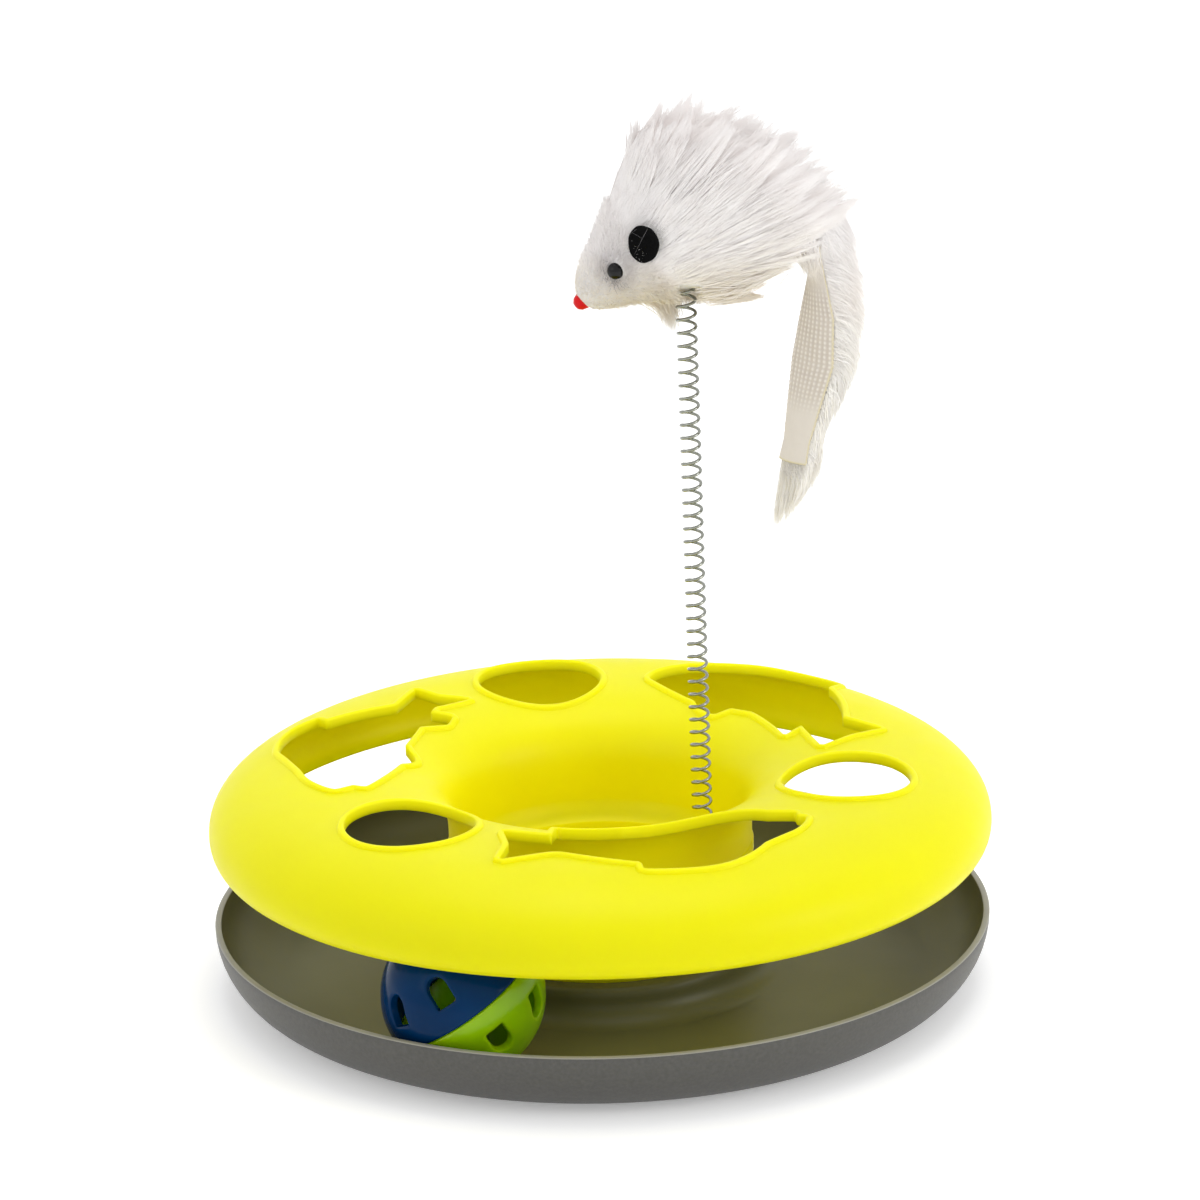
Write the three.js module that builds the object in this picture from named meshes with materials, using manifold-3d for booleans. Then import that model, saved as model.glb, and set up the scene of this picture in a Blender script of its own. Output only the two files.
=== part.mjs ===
// Cat ball track toy: a dished tray, a doughnut lid with paw openings, a lattice ball with a bell
// that runs between them, and a furry mouse on a wire spring. Millimetres, +Z up, origin at the
// middle of the tray's underside.

import * as THREE from 'three';
import { mergeVertices } from 'three/addons/utils/BufferGeometryUtils.js';
import Module from 'manifold-3d';

// Tray
const trayRimRadius = 118;
const trayHeight = 21.4;
const trayWall = 1.9;
const trayFloor = 2.3;
const trayCornerReach = 20;
const footHeight = 0.5;
const footWidth = 6;
const bossRadius = 47.6;
const bossRise = 10.7;
const bossDraft = 0.4;
const bossCove = 7.5;
const bossShoulder = 1.2;
const socketFloor = 2.2;

// Lid
const lidOverhang = 0.6;
const lidWall = 2.3;
const pawGap = 22.6;
const lidEdgeInset = 4.6;
const lidBulgeRise = 6.4;
const crownRise = 25.4;
const crownShare = 0.5334;
const outerFullness = 2.17;
const innerFullness = 3.1;
const throatRadius = 43.8;
const throatRise = 2;
const throatDepth = 6;
const wellRadius = 39.4;
const wellLipDrop = 9.6;
const wellDepth = 14.4;
const lipRound = 1.6;
const neckClearance = 0.6;

// Paw openings in the lid
const openingCount = 3;
const roundHoleRadius = 19.3;
const roundHoleInset = 6.9;
const roundHoleAngle = -16.3;
const fishAngle = 43.7;
const fishRing = 74.8;
const beadWidth = 2.2;
const beadHeight = 1;

// Ball and bell
const ballRadius = 24;
const ballWall = 2.4;
const ballWallGap = 0.6;
const ballAngle = -116.5;
const seamLean = 33.6;
const seamLip = 1.2;
const seamLipDepth = 1.4;
const windowCount = 8;
const windowWidth = 6.4;
const windowHeight = 8.4;
const windowSill = 7;
const greenTurn = 16.5;
const bellRadius = 6.5;
const bellWall = 0.6;
const bellFlange = 0.8;
const bellFlangeHeight = 0.6;
const bellSlotWidth = 1.2;
const bellEyeSpread = 4;
const pelletRadius = 2.4;

// Spring
const wire = 0.85;
const springRadius = 2.75;
const springPitch = 4;
const springOffset = 31.5;
const springLean = 0.83;
const studHeight = 9;
const padRadius = 5;
const padHeight = 1.5;

// Mouse, measured from the foot of the spring
const bodyLength = 72;
const bodyHeight = 59;
const bodyWidth = 45;
const bodyTaper = 0.04;
const bodyTilt = 23.5;
const bodyForward = 9.2;
const bodyRise = 218.5;
const coreLength = 40;
const coreHeight = 26;
const coreWidth = 24;
const stemRadius = 5.5;
const stemGrip = 10;
const noseOut = 7;
const noseDrop = 12.5;
const headTilt = 35;
const headLength = 36;
const headRadius = 14.6;
const earLength = 11.2;
const earWidth = 9.2;
const earThickness = 1.8;
const earAlong = 27.2;
const earAbove = 5.7;
const earTurn = 24;
const earNod = 2;
const eyeRadius = 2.5;
const eyeAlong = 14.7;
const eyeAbove = 2.7;
const eyeAside = 11.4;
const noseRadius = 2.3;
const tailRootAngle = -45;
const tailLength = 90;
const tailThickness = 17;
const tailWidth = 11;
const tailKnob = 4;
const tailBow = 1;
const tailSweep = 18.5;

// Fits and facets
const restGap = 0.3;
const socketGap = 0.35;
const weldDistance = 1e-4;
const roundSides = 40;
const ballSides = 24;
const softSides = 24;
const smallSides = 12;

const radians = THREE.MathUtils.degToRad;

// Places that the pieces share
const floorTop = footHeight + trayFloor;
const bossTop = floorTop + bossRise;
const socketTop = footHeight + socketFloor;
const lidEdgeZ = trayHeight + pawGap;
const crownZ = lidEdgeZ + crownRise;
const bulgeZ = lidEdgeZ + lidBulgeRise;
const throatZ = lidEdgeZ + throatRise;
const lipZ = lidEdgeZ - wellLipDrop;
const wellFloorZ = lipZ - wellDepth;
const padTop = wellFloorZ + padHeight;
const springFoot = padTop + restGap;
const lidRadius = trayRimRadius + lidOverhang;
const ringWidth = lidRadius - throatRadius;
const crownRadius = throatRadius + crownShare * ringWidth;
const rimInner = trayRimRadius - trayWall;
const trackRadius = rimInner - ballRadius - ballWallGap;
const ballZ = floorTop + restGap + ballRadius;
const bellDrop = ballRadius - ballWall - bellRadius - restGap;
const bodyFront = (bodyLength / 2) * Math.cos(radians(bodyTilt));
const bodyDip = (bodyLength / 2) * Math.sin(radians(bodyTilt));
const noseReach = bodyFront - bodyForward + noseOut;
const noseRise = bodyRise - bodyDip - noseDrop;
const socketTopInMouse = bodyRise - bodyHeight / 2 + stemGrip;

const wasm = await Module();
wasm.setup();

// Welds a geometry into a closed solid, without the slivers at a pole.
function solid(geometry) {
  geometry.deleteAttribute('normal');
  geometry.deleteAttribute('uv');
  const welded = mergeVertices(geometry, weldDistance);
  const index = welded.getIndex().array;
  const triangles = [];
  for (let i = 0; i < index.length; i += 3) {
    const [a, b, c] = index.slice(i, i + 3);
    if (a !== b && b !== c && c !== a) {
      triangles.push(a, b, c);
    }
  }
  const vertProperties = new Float32Array(welded.getAttribute('position').array);
  const triVerts = new Uint32Array(triangles);
  return new wasm.Manifold(new wasm.Mesh({ numProp: 3, vertProperties, triVerts }));
}

function geometryOf(body) {
  const { vertProperties, triVerts } = body.getMesh();
  const geometry = new THREE.BufferGeometry();
  geometry.setAttribute('position', new THREE.BufferAttribute(vertProperties, 3));
  geometry.setIndex(new THREE.BufferAttribute(triVerts, 1));
  geometry.computeVertexNormals();
  return geometry;
}

// Revolves a profile of [radius, height] about Z. A closed profile runs up its outer side.
function revolve(profile, sides) {
  const points = profile.map(([r, z]) => new THREE.Vector2(r, z));
  return new THREE.LatheGeometry(points, sides).rotateX(Math.PI / 2);
}

function closedRevolve(profile, sides) {
  return revolve([...profile, profile[0]], sides);
}

// A small cylinder about Z between two heights.
function cylinder(radius, from, to) {
  return revolve([[0, from], [radius, from], [radius, to], [0, to]], smallSides);
}

// A quarter of a superellipse from its end on the radius axis to its end on the height axis.
function quarter(middle, reach, rise, fullness, steps) {
  return Array.from({ length: steps + 1 }, (_, i) => {
    const turn = (i / steps) * (Math.PI / 2);
    const across = Math.cos(turn) ** (2 / fullness);
    const up = i === 0 ? 0 : Math.sin(turn) ** (2 / fullness);
    return [middle[0] + reach * (i === steps ? 0 : across), middle[1] + rise * up];
  });
}

function extrude(shape, depth, curveSegments) {
  return new THREE.ExtrudeGeometry(shape, { depth, bevelEnabled: false, curveSegments });
}

function mesh(name, body, colour, roughness, metalness = 0) {
  const material = new THREE.MeshStandardMaterial({ color: colour, roughness, metalness });
  const piece = new THREE.Mesh(geometryOf(body), material);
  piece.name = name;
  return piece;
}

// Tray: foot ring, curved wall, flat track that sweeps up into a boss, and a socket for the lid's neck.
function trayProfile() {
  const base = trayRimRadius - trayCornerReach;
  const wallFoot = [base, trayHeight];
  const outside = quarter(wallFoot, trayCornerReach, footHeight - trayHeight, 2, 5).reverse();
  const inside = quarter(wallFoot, rimInner - base, floorTop - trayHeight, 2, 5);
  const socketRadius = wellRadius + lidWall + neckClearance;
  const hollowTop = bossTop - trayFloor;
  const bossFoot = bossRadius + bossDraft;
  const cove = Math.min(bossCove, bossRise - bossShoulder);
  const coveCentre = [bossFoot + cove, floorTop + cove];
  return [
    [0, footHeight],
    [socketRadius + trayWall, footHeight],
    [socketRadius + trayWall, hollowTop],
    [bossRadius - trayWall, hollowTop],
    [bossFoot - trayWall, footHeight],
    [base - footWidth, footHeight],
    [base - footWidth, 0],
    [base, 0],
    ...outside,
    ...inside,
    ...quarter(coveCentre, -cove, -cove, 2, 4).reverse(),
    [bossRadius, bossTop - bossShoulder],
    [bossRadius - bossShoulder, bossTop],
    [socketRadius, bossTop],
    [socketRadius, socketTop],
    [0, socketTop],
  ];
}

// Lid: doughnut crown, funnel throat, well with a floor and a neck that stands in the tray's socket.
function lidProfile() {
  const bulge = [crownRadius, bulgeZ];
  const throat = [crownRadius, throatZ];
  const outerReach = lidRadius - crownRadius;
  const innerReach = throatRadius - crownRadius;
  const edgeRadius = lidRadius - lidEdgeInset;
  const neckRadius = wellRadius + lidWall;
  const throatFloorZ = throatZ - throatDepth;
  const neckFoot = socketTop + restGap;
  const outerTop = quarter(bulge, outerReach, crownZ - bulgeZ, outerFullness, 6);
  const innerTop = quarter(throat, innerReach, crownZ - throatZ, innerFullness, 6).reverse();
  const outerUnder = quarter(bulge, outerReach - lidWall, crownZ - lidWall - bulgeZ, outerFullness, 4);
  const innerUnder = quarter(throat, innerReach + lidWall, crownZ - lidWall - throatZ, innerFullness, 4);
  return [
    [edgeRadius, lidEdgeZ],
    [lidRadius - lidEdgeInset / 4, lidEdgeZ + lidBulgeRise / 2],
    ...outerTop,
    ...innerTop.slice(1),
    [throatRadius, throatFloorZ],
    [wellRadius + lipRound, lipZ + lipRound / 2],
    [wellRadius, lipZ],
    [wellRadius, wellFloorZ],
    [0, wellFloorZ],
    [0, wellFloorZ - lidWall],
    [wellRadius, wellFloorZ - lidWall],
    [wellRadius, neckFoot],
    [neckRadius, neckFoot],
    [neckRadius, lipZ - lidWall / 2],
    [throatRadius + lidWall, throatFloorZ - lidWall / 2],
    ...innerUnder,
    ...outerUnder.reverse().slice(1),
    [edgeRadius - lidWall, lidEdgeZ],
  ];
}

// The layer of the crown that a bead fills, from inside the lid's wall to above it.
function beadLayer() {
  const root = lidWall / 2;
  const above = crownZ + beadHeight;
  const below = crownZ - root;
  const outerReach = lidRadius - crownRadius;
  const innerReach = throatRadius - crownRadius;
  const bulge = [crownRadius, bulgeZ];
  const throat = [crownRadius, throatZ];
  return closedRevolve([
    ...quarter(bulge, outerReach + beadHeight, above - bulgeZ, outerFullness, 6),
    ...quarter(throat, innerReach - beadHeight, above - throatZ, innerFullness, 6).reverse().slice(1),
    ...quarter(throat, innerReach + root, below - throatZ, innerFullness, 4),
    ...quarter(bulge, outerReach - root, below - bulgeZ, outerFullness, 4).reverse().slice(1),
  ], roundSides);
}

// Three fish, nose to -X, drawn about the crown's ridge for a lid ring of the width fishRing.
function roundFish() {
  const fish = new THREE.Shape();
  fish.moveTo(-41, -21.5);
  fish.quadraticCurveTo(-46.5, -15, -40.5, -3.5);
  fish.quadraticCurveTo(-36, 3, -30, 10);
  fish.quadraticCurveTo(-25, 20, -13.5, 22.5);
  fish.quadraticCurveTo(-4, 24, 3, 19.5);
  fish.lineTo(6, 11);
  fish.quadraticCurveTo(19, 4.5, 30.5, -8.5);
  fish.lineTo(46, -7.5);
  fish.lineTo(43, -18);
  fish.lineTo(42.5, -30.5);
  fish.lineTo(25, -21);
  fish.lineTo(25.5, -29);
  fish.quadraticCurveTo(14, -23, 4, -21);
  fish.lineTo(-4, -22.5);
  fish.lineTo(-6, -27.5);
  fish.quadraticCurveTo(-13, -28.5, -17, -25);
  fish.quadraticCurveTo(-30, -24.5, -41, -21.5);
  return fish;
}

function finnedFish() {
  const fish = new THREE.Shape();
  fish.moveTo(-45.5, -15);
  fish.quadraticCurveTo(-43, -8, -36, -2.5);
  fish.quadraticCurveTo(-31, 0.5, -28, 3);
  fish.lineTo(-13.5, 14);
  fish.quadraticCurveTo(0, 19.5, 10.5, 16.5);
  fish.lineTo(17.5, 12);
  fish.lineTo(14, 8);
  fish.quadraticCurveTo(22, 2.5, 31.5, -9);
  fish.lineTo(48, -10);
  fish.lineTo(43, -19);
  fish.lineTo(43, -29.5);
  fish.lineTo(33, -21);
  fish.lineTo(28.5, -21);
  fish.lineTo(28.5, -28.5);
  fish.lineTo(22, -28.5);
  fish.lineTo(16, -21.5);
  fish.lineTo(0, -22);
  fish.lineTo(-7, -27.5);
  fish.quadraticCurveTo(-11, -29.5, -15.5, -25.5);
  fish.quadraticCurveTo(-30, -25.5, -41, -23);
  fish.lineTo(-40.5, -19);
  fish.lineTo(-45.5, -15);
  return fish;
}

function slimFish() {
  const fish = new THREE.Shape();
  fish.moveTo(42, -30.5);
  fish.lineTo(29.5, -22.5);
  fish.lineTo(25, -34.5);
  fish.lineTo(7.5, -29);
  fish.quadraticCurveTo(-8, -31, -21.5, -29);
  fish.quadraticCurveTo(-31, -27, -35, -22);
  fish.lineTo(-43, -19);
  fish.lineTo(-42.5, -15.5);
  fish.lineTo(-45, -14.5);
  fish.quadraticCurveTo(-43, -9, -38.5, -5);
  fish.lineTo(-27.5, 2);
  fish.quadraticCurveTo(-18, 13.5, -5, 13);
  fish.quadraticCurveTo(3, 12.8, 10.5, 10.5);
  fish.lineTo(10, 6.5);
  fish.quadraticCurveTo(20, 1.5, 30, -7.5);
  fish.lineTo(33.5, -8.5);
  fish.lineTo(48.5, -7.5);
  fish.lineTo(43, -19);
  fish.lineTo(42, -30.5);
  return fish;
}

function roundHole() {
  const hole = new THREE.Shape();
  hole.absarc(0, -roundHoleInset, roundHoleRadius, 0, 2 * Math.PI);
  return hole;
}

// An outline moved out by a distance, with its sharp corners held to a short mitre.
function grownOutline(points, distance) {
  const longestMitre = 1.5;
  const outward = THREE.ShapeUtils.isClockWise(points) ? -1 : 1;
  const normal = (from, to) => {
    const along = to.clone().sub(from).normalize();
    return new THREE.Vector2(along.y, -along.x).multiplyScalar(outward);
  };
  return points.map((point, i) => {
    const before = normal(points.at(i - 1), point);
    const after = normal(point, points[(i + 1) % points.length]);
    const bisector = before.clone().add(after).normalize();
    const mitre = Math.min(1 / Math.max(bisector.dot(before), 1e-6), longestMitre);
    return point.clone().addScaledVector(bisector, distance * mitre);
  });
}

// One paw opening: the cutter that clears it and the plug that its bead is made from.
function opening(shape, size, angle, curveSegments) {
  const points = shape.getPoints(curveSegments).map((point) => point.multiplyScalar(size));
  if (points[0].distanceTo(points.at(-1)) < weldDistance) {
    points.pop();
  }
  const from = lidEdgeZ + restGap;
  const depth = crownZ + 2 * beadHeight - from;
  const place = (geometry) => solid(
    geometry.translate(0, crownRadius, from).rotateZ(radians(angle) - Math.PI / 2),
  );
  return {
    cutter: place(extrude(new THREE.Shape(points), depth, 1)),
    plug: place(extrude(new THREE.Shape(grownOutline(points, beadWidth)), depth, 1)),
  };
}

function lidBody() {
  const layer = solid(beadLayer());
  const step = 360 / openingCount;
  const fish = [roundFish(), finnedFish(), slimFish()];
  const openings = fish.flatMap((shape, i) => [
    opening(shape, ringWidth / fishRing, fishAngle + i * step, 3),
    opening(roundHole(), 1, roundHoleAngle + i * step, 12),
  ]);
  const shell = solid(closedRevolve(lidProfile(), roundSides));
  const studRadius = springRadius - wire / 2 - socketGap;
  const studTop = [0, studHeight + studRadius];
  const pad = cylinder(padRadius, -lidWall / 2, padHeight);
  const stud = revolve([[0, 0], [studRadius, 0], [studRadius, studHeight], studTop], smallSides);
  const atSpring = (geometry) => solid(geometry.translate(springOffset, 0, wellFloorZ));
  let body = shell.add(atSpring(pad)).add(atSpring(stud));
  for (const { plug } of openings) {
    body = body.add(plug.intersect(layer));
  }
  for (const { cutter } of openings) {
    body = body.subtract(cutter);
  }
  return body;
}

// Half of the lattice ball about its own pole, +Z. The green half has the seam's lip.
function ballHalf(hasLip) {
  const inner = ballRadius - ballWall;
  const seam = restGap / 2;
  const lipRadius = inner + seamLip;
  const arc = (radius, from, steps) => Array.from({ length: steps + 1 }, (_, i) => {
    const start = Math.asin(from / radius);
    const turn = start + (Math.PI / 2 - start) * (i / steps);
    return [i === steps ? 0 : radius * Math.cos(turn), radius * Math.sin(turn)];
  });
  const outside = arc(ballRadius, seam, 6);
  const inside = arc(inner, hasLip ? seam : seamLipDepth + restGap, 5).reverse();
  const lip = [[inner, -seamLipDepth], [lipRadius, -seamLipDepth], [lipRadius, seam]];
  const recess = [
    [lipRadius + socketGap, seamLipDepth + restGap],
    [lipRadius + socketGap, seam],
  ];
  const shell = solid(closedRevolve([...outside, ...inside, ...(hasLip ? lip : recess)], ballSides));
  const arch = new THREE.Shape();
  const half = windowWidth / 2;
  arch.moveTo(-half, windowSill);
  arch.lineTo(half, windowSill);
  arch.lineTo(half, windowSill + windowHeight - half);
  arch.absarc(0, windowSill + windowHeight - half, half, 0, Math.PI);
  let body = shell;
  for (let i = 0; i < windowCount; i += 1) {
    const cutter = extrude(arch, 2 * ballRadius, 3);
    cutter.rotateX(Math.PI / 2).rotateZ((2 * Math.PI * i) / windowCount);
    body = body.subtract(solid(cutter));
  }
  return body;
}

// Bell: two pressed cups with a crimped flange, the lower one with a slot, and a loose pellet.
function bellCup() {
  const inner = bellRadius - bellWall;
  const low = restGap / 2;
  const arc = (radius) => quarter([0, low], radius, radius - low, 2, 5);
  return solid(closedRevolve([
    [inner, low],
    [bellRadius + bellFlange, low],
    [bellRadius + bellFlange, low + bellFlangeHeight],
    [bellRadius, low + bellFlangeHeight],
    ...arc(bellRadius).slice(1),
    ...arc(inner).reverse().slice(0, -1),
  ], smallSides));
}

function bellSlot() {
  const lift = bellRadius + bellFlangeHeight + restGap;
  const slit = new THREE.BoxGeometry(2 * bellRadius, bellSlotWidth, bellRadius);
  let cut = solid(slit.translate(0, 0, lift));
  for (const end of [-1, 1]) {
    const eye = new THREE.CylinderGeometry(bellSlotWidth, bellSlotWidth, bellRadius, smallSides / 2);
    cut = cut.add(solid(eye.rotateX(Math.PI / 2).translate(end * bellEyeSpread, 0, lift)));
  }
  return cut;
}

// Spring: one wire, straight for a wire's width at both ends and coiled between them.
function springWire(length) {
  const stepsPerTurn = 8;
  const sides = 5;
  const rise = length - 2 * wire;
  const turns = Math.round(rise / springPitch);
  const steps = turns * stepsPerTurn;
  const radial = (turn) => new THREE.Vector3(Math.cos(turn), Math.sin(turn), 0);
  const along = (turn) => new THREE.Vector3(
    -Math.sin(turn) * springRadius,
    Math.cos(turn) * springRadius,
    rise / (2 * Math.PI * turns),
  ).normalize();
  const up = new THREE.Vector3(0, 0, 1);
  const stations = [{ turn: 0, z: 0, tangent: up }];
  for (let i = 0; i <= steps; i += 1) {
    const turn = (2 * Math.PI * i) / stepsPerTurn;
    const end = i === 0 || i === steps;
    const tangent = end ? along(turn).add(up).normalize() : along(turn);
    stations.push({ turn, z: wire + (rise * i) / steps, tangent });
  }
  stations.push({ turn: 2 * Math.PI * turns, z: length, tangent: up });
  const centres = stations.map(({ turn, z }) => radial(turn).multiplyScalar(springRadius).setZ(z));
  const positions = [];
  stations.forEach(({ turn, tangent }, i) => {
    const out = radial(turn);
    const side = tangent.clone().cross(out);
    for (let k = 0; k < sides; k += 1) {
      const angle = (2 * Math.PI * k) / sides;
      const point = centres[i].clone();
      point.addScaledVector(out, (wire / 2) * Math.cos(angle));
      point.addScaledVector(side, (wire / 2) * Math.sin(angle));
      positions.push(point.x, point.y, point.z);
    }
  });
  const index = [];
  const last = (stations.length - 1) * sides;
  for (let i = 0; i < last; i += sides) {
    for (let k = 0; k < sides; k += 1) {
      const next = (k + 1) % sides;
      index.push(i + k, i + next, i + sides + next, i + k, i + sides + next, i + sides + k);
    }
  }
  for (let k = 1; k < sides - 1; k += 1) {
    index.push(0, k + 1, k, last, last + k, last + k + 1);
  }
  const geometry = new THREE.BufferGeometry();
  geometry.setAttribute('position', new THREE.Float32BufferAttribute(positions, 3));
  geometry.setIndex(index);
  const gap = leastGap(centres, stepsPerTurn).toFixed(2);
  console.log(`spring: ${turns} turns, least gap to itself ${gap} mm`);
  return solid(geometry);
}

// The least space between the wire and itself, half a turn or more along it.
function leastGap(centres, stepsPerTurn) {
  let least = Infinity;
  for (let i = 0; i < centres.length; i += 1) {
    for (let k = i + stepsPerTurn / 2; k < Math.min(i + 2 * stepsPerTurn, centres.length); k += 1) {
      least = Math.min(least, centres[i].distanceTo(centres[k]) - wire);
    }
  }
  return least;
}

// Mouse pieces lie in a frame whose Z axis is the spring's and whose origin is the spring's foot.
// A body grown by a gap cuts the smaller pieces that sit on it.
function mouseBody(gap) {
  const half = bodyLength / 2 + gap;
  const radius = bodyHeight / 2 + gap;
  const steps = 12;
  const profile = Array.from({ length: steps + 1 }, (_, i) => {
    const t = -Math.cos((Math.PI * i) / steps);
    const swell = Math.sqrt(Math.max(0, 1 - t * t)) * (1 - bodyTaper * t);
    return [i === 0 || i === steps ? 0 : radius * swell, half * t];
  });
  const egg = revolve(profile, softSides);
  egg.scale(1, (bodyWidth + 2 * gap) / (bodyHeight + 2 * gap), 1);
  return solid(egg.rotateY(radians(-90 - bodyTilt)).translate(bodyForward, 0, bodyRise));
}

function mouseCore(gap, stemFoot) {
  const capsule = new THREE.SphereGeometry(1, softSides, smallSides / 2);
  capsule.scale(coreLength / 2 + gap, coreWidth / 2 + gap, coreHeight / 2 + gap);
  capsule.rotateY(radians(-bodyTilt)).translate(bodyForward, 0, bodyRise);
  const radius = stemRadius + gap;
  const stem = cylinder(radius, stemFoot, bodyRise);
  return solid(capsule).add(solid(stem));
}

function coreBody() {
  const holeRadius = springRadius + wire / 2 + socketGap;
  const stemFoot = socketTopInMouse - stemGrip + 2 * restGap;
  const hole = cylinder(holeRadius, 0, socketTopInMouse);
  return mouseCore(0, stemFoot).subtract(solid(hole));
}

function mouseHead(gap) {
  const radius = headRadius + gap;
  const swell = [[0.16, 0.008], [0.3, 0.06], [0.56, 0.22], [0.82, 0.42], [0.98, 0.62], [1, 0.75], [0.8, 0.9]];
  const profile = [
    [0, -gap],
    ...swell.map(([r, along]) => [radius * r, headLength * along - gap]),
    [0, headLength],
  ];
  const cone = revolve(profile, softSides);
  return solid(cone.rotateY(radians(90 - headTilt)).translate(-noseReach, 0, noseRise));
}

// A point above and beside the head's axis, a distance along it from the nose.
function besideHead(along, above, aside) {
  const place = new THREE.Vector2(along, above).rotateAround(new THREE.Vector2(), radians(headTilt));
  return [place.x - noseReach, aside, place.y + noseRise];
}

// Half the body's width at a point of its side view.
function bodyAside(x, z) {
  const across = new THREE.Vector2(x - bodyForward, z - bodyRise);
  across.rotateAround(new THREE.Vector2(), -radians(bodyTilt));
  const t = (-2 * across.x) / bodyLength;
  const swell = (bodyHeight / 2) * Math.sqrt(Math.max(0, 1 - t * t)) * (1 - bodyTaper * t);
  return Math.sqrt(Math.max(0, swell ** 2 - across.y ** 2)) * (bodyWidth / bodyHeight);
}

function mouseEar(side) {
  const disc = new THREE.CylinderGeometry(earWidth / 2, earWidth / 2, earThickness, softSides);
  disc.scale(1, 1, earLength / earWidth);
  disc.rotateX(-side * radians(earNod)).rotateZ(side * radians(earTurn));
  const [x, , z] = besideHead(earAlong, earAbove, 0);
  const aside = bodyAside(x, z) + restGap + earThickness / 3;
  return solid(disc.translate(x, side * aside, z));
}

function bead(radius, [x, y, z]) {
  return solid(new THREE.SphereGeometry(radius, smallSides, smallSides / 2).translate(x, y, z));
}

// Tail: a strip of fur that swells below its rounded root, bows out and tapers to its tip.
function tailRoot() {
  const turn = radians(tailRootAngle);
  const tilt = radians(bodyTilt);
  const along = (bodyLength / 2) * Math.cos(turn);
  const up = (bodyHeight / 2) * Math.sin(turn) * (1 + bodyTaper * Math.cos(turn));
  const out = new THREE.Vector2(Math.cos(turn) / bodyLength, Math.sin(turn) / bodyHeight);
  out.setLength(tailKnob + restGap).add(new THREE.Vector2(along, up));
  out.rotateAround(new THREE.Vector2(), tilt);
  return new THREE.Vector3(bodyForward + out.x, 0, bodyRise + out.y);
}

function mouseTail() {
  const root = tailRoot();
  const half = tailThickness / 2;
  const profile = [[0, tailKnob], [tailKnob * 0.7, tailKnob * 0.7], [tailKnob, 0]];
  const swell = [[0.2, 0.85], [0.4, 1], [0.6, 0.95], [0.8, 0.7], [0.93, 0.4]];
  profile.push(...swell.map(([down, share]) => [half * share, -tailLength * down]), [0, -tailLength]);
  const strip = revolve(profile.reverse(), softSides);
  const places = strip.getAttribute('position');
  for (let i = 0; i < places.count; i += 1) {
    const down = Math.max(0, -places.getZ(i)) / tailLength;
    const flat = down > 0 ? tailWidth / tailThickness : 1;
    const bow = tailBow * Math.sin(Math.PI * down) - tailSweep * down * down;
    places.setX(i, places.getX(i) + bow);
    places.setY(i, places.getY(i) * flat);
  }
  return solid(strip.translate(root.x, root.y, root.z));
}

// Colours
const lidYellow = 0xf2e600;
const trayGrey = 0x6b6a63;
const ballBlue = 0x0a3f86;
const ballGreen = 0x8fc400;
const furWhite = 0xf4f1ee;
const feltBlack = 0x0b0b0c;
const noseRed = 0xd9141c;
const steel = 0xb9bcbc;
const nickel = 0xc9c7be;

function ballGroup() {
  const ball = new THREE.Group();
  const turn = radians(ballAngle);
  ball.position.set(trackRadius * Math.cos(turn), trackRadius * Math.sin(turn), ballZ);
  const shell = new THREE.Group();
  shell.rotation.y = -radians(seamLean);
  const green = mesh('ball_green_half', ballHalf(true), ballGreen, 0.3);
  green.rotation.set(Math.PI, 0, -radians(greenTurn));
  shell.add(mesh('ball_blue_half', ballHalf(false), ballBlue, 0.25), green);
  const bell = new THREE.Group();
  bell.position.z = -bellDrop;
  const lower = mesh('bell_lower_cup', bellCup().subtract(bellSlot()), nickel, 0.25, 1);
  lower.rotation.x = Math.PI;
  const pellet = mesh('bell_pellet', bead(pelletRadius, [0, 0, 0]), steel, 0.3, 1);
  pellet.position.z = -(bellRadius - bellWall - pelletRadius - restGap);
  bell.add(mesh('bell_upper_cup', bellCup(), nickel, 0.25, 1), lower, pellet);
  ball.add(shell, bell);
  return ball;
}

function mouseOnSpring() {
  const toy = new THREE.Group();
  toy.position.set(springOffset, 0, springFoot);
  toy.rotation.y = -radians(springLean);
  const bodyCut = mouseBody(restGap);
  const headCut = mouseHead(restGap);
  const seated = (body) => body.subtract(bodyCut).subtract(headCut);
  const cavity = mouseCore(restGap, 0);
  toy.add(
    mesh('spring', springWire(socketTopInMouse - restGap), steel, 0.25, 1),
    mesh('mouse_body', mouseBody(0).subtract(cavity), furWhite, 0.95),
    mesh('mouse_core', coreBody(), furWhite, 0.5),
    mesh('mouse_head', mouseHead(0).subtract(bodyCut), furWhite, 0.95),
    mesh('mouse_nose', seated(bead(noseRadius, besideHead(noseRadius / 3, 0, 0))), noseRed, 0.35),
    mesh('mouse_tail', mouseTail(), furWhite, 0.95),
  );
  for (const [label, side] of [['left', -1], ['right', 1]]) {
    const eye = bead(eyeRadius, besideHead(eyeAlong, eyeAbove, side * eyeAside));
    toy.add(
      mesh(`mouse_ear_${label}`, seated(mouseEar(side)), feltBlack, 0.95),
      mesh(`mouse_eye_${label}`, seated(eye), feltBlack, 0.1),
    );
  }
  return toy;
}

const catTrackToy = new THREE.Group();
catTrackToy.add(
  mesh('tray', solid(revolve(trayProfile(), roundSides)), trayGrey, 0.6),
  mesh('lid', lidBody(), lidYellow, 0.45),
  ballGroup(),
  mouseOnSpring(),
);

export default catTrackToy;
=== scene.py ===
import math

import bmesh
import bpy
import numpy as np
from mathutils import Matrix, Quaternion, Vector
from mathutils.geometry import delaunay_2d_cdt


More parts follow.
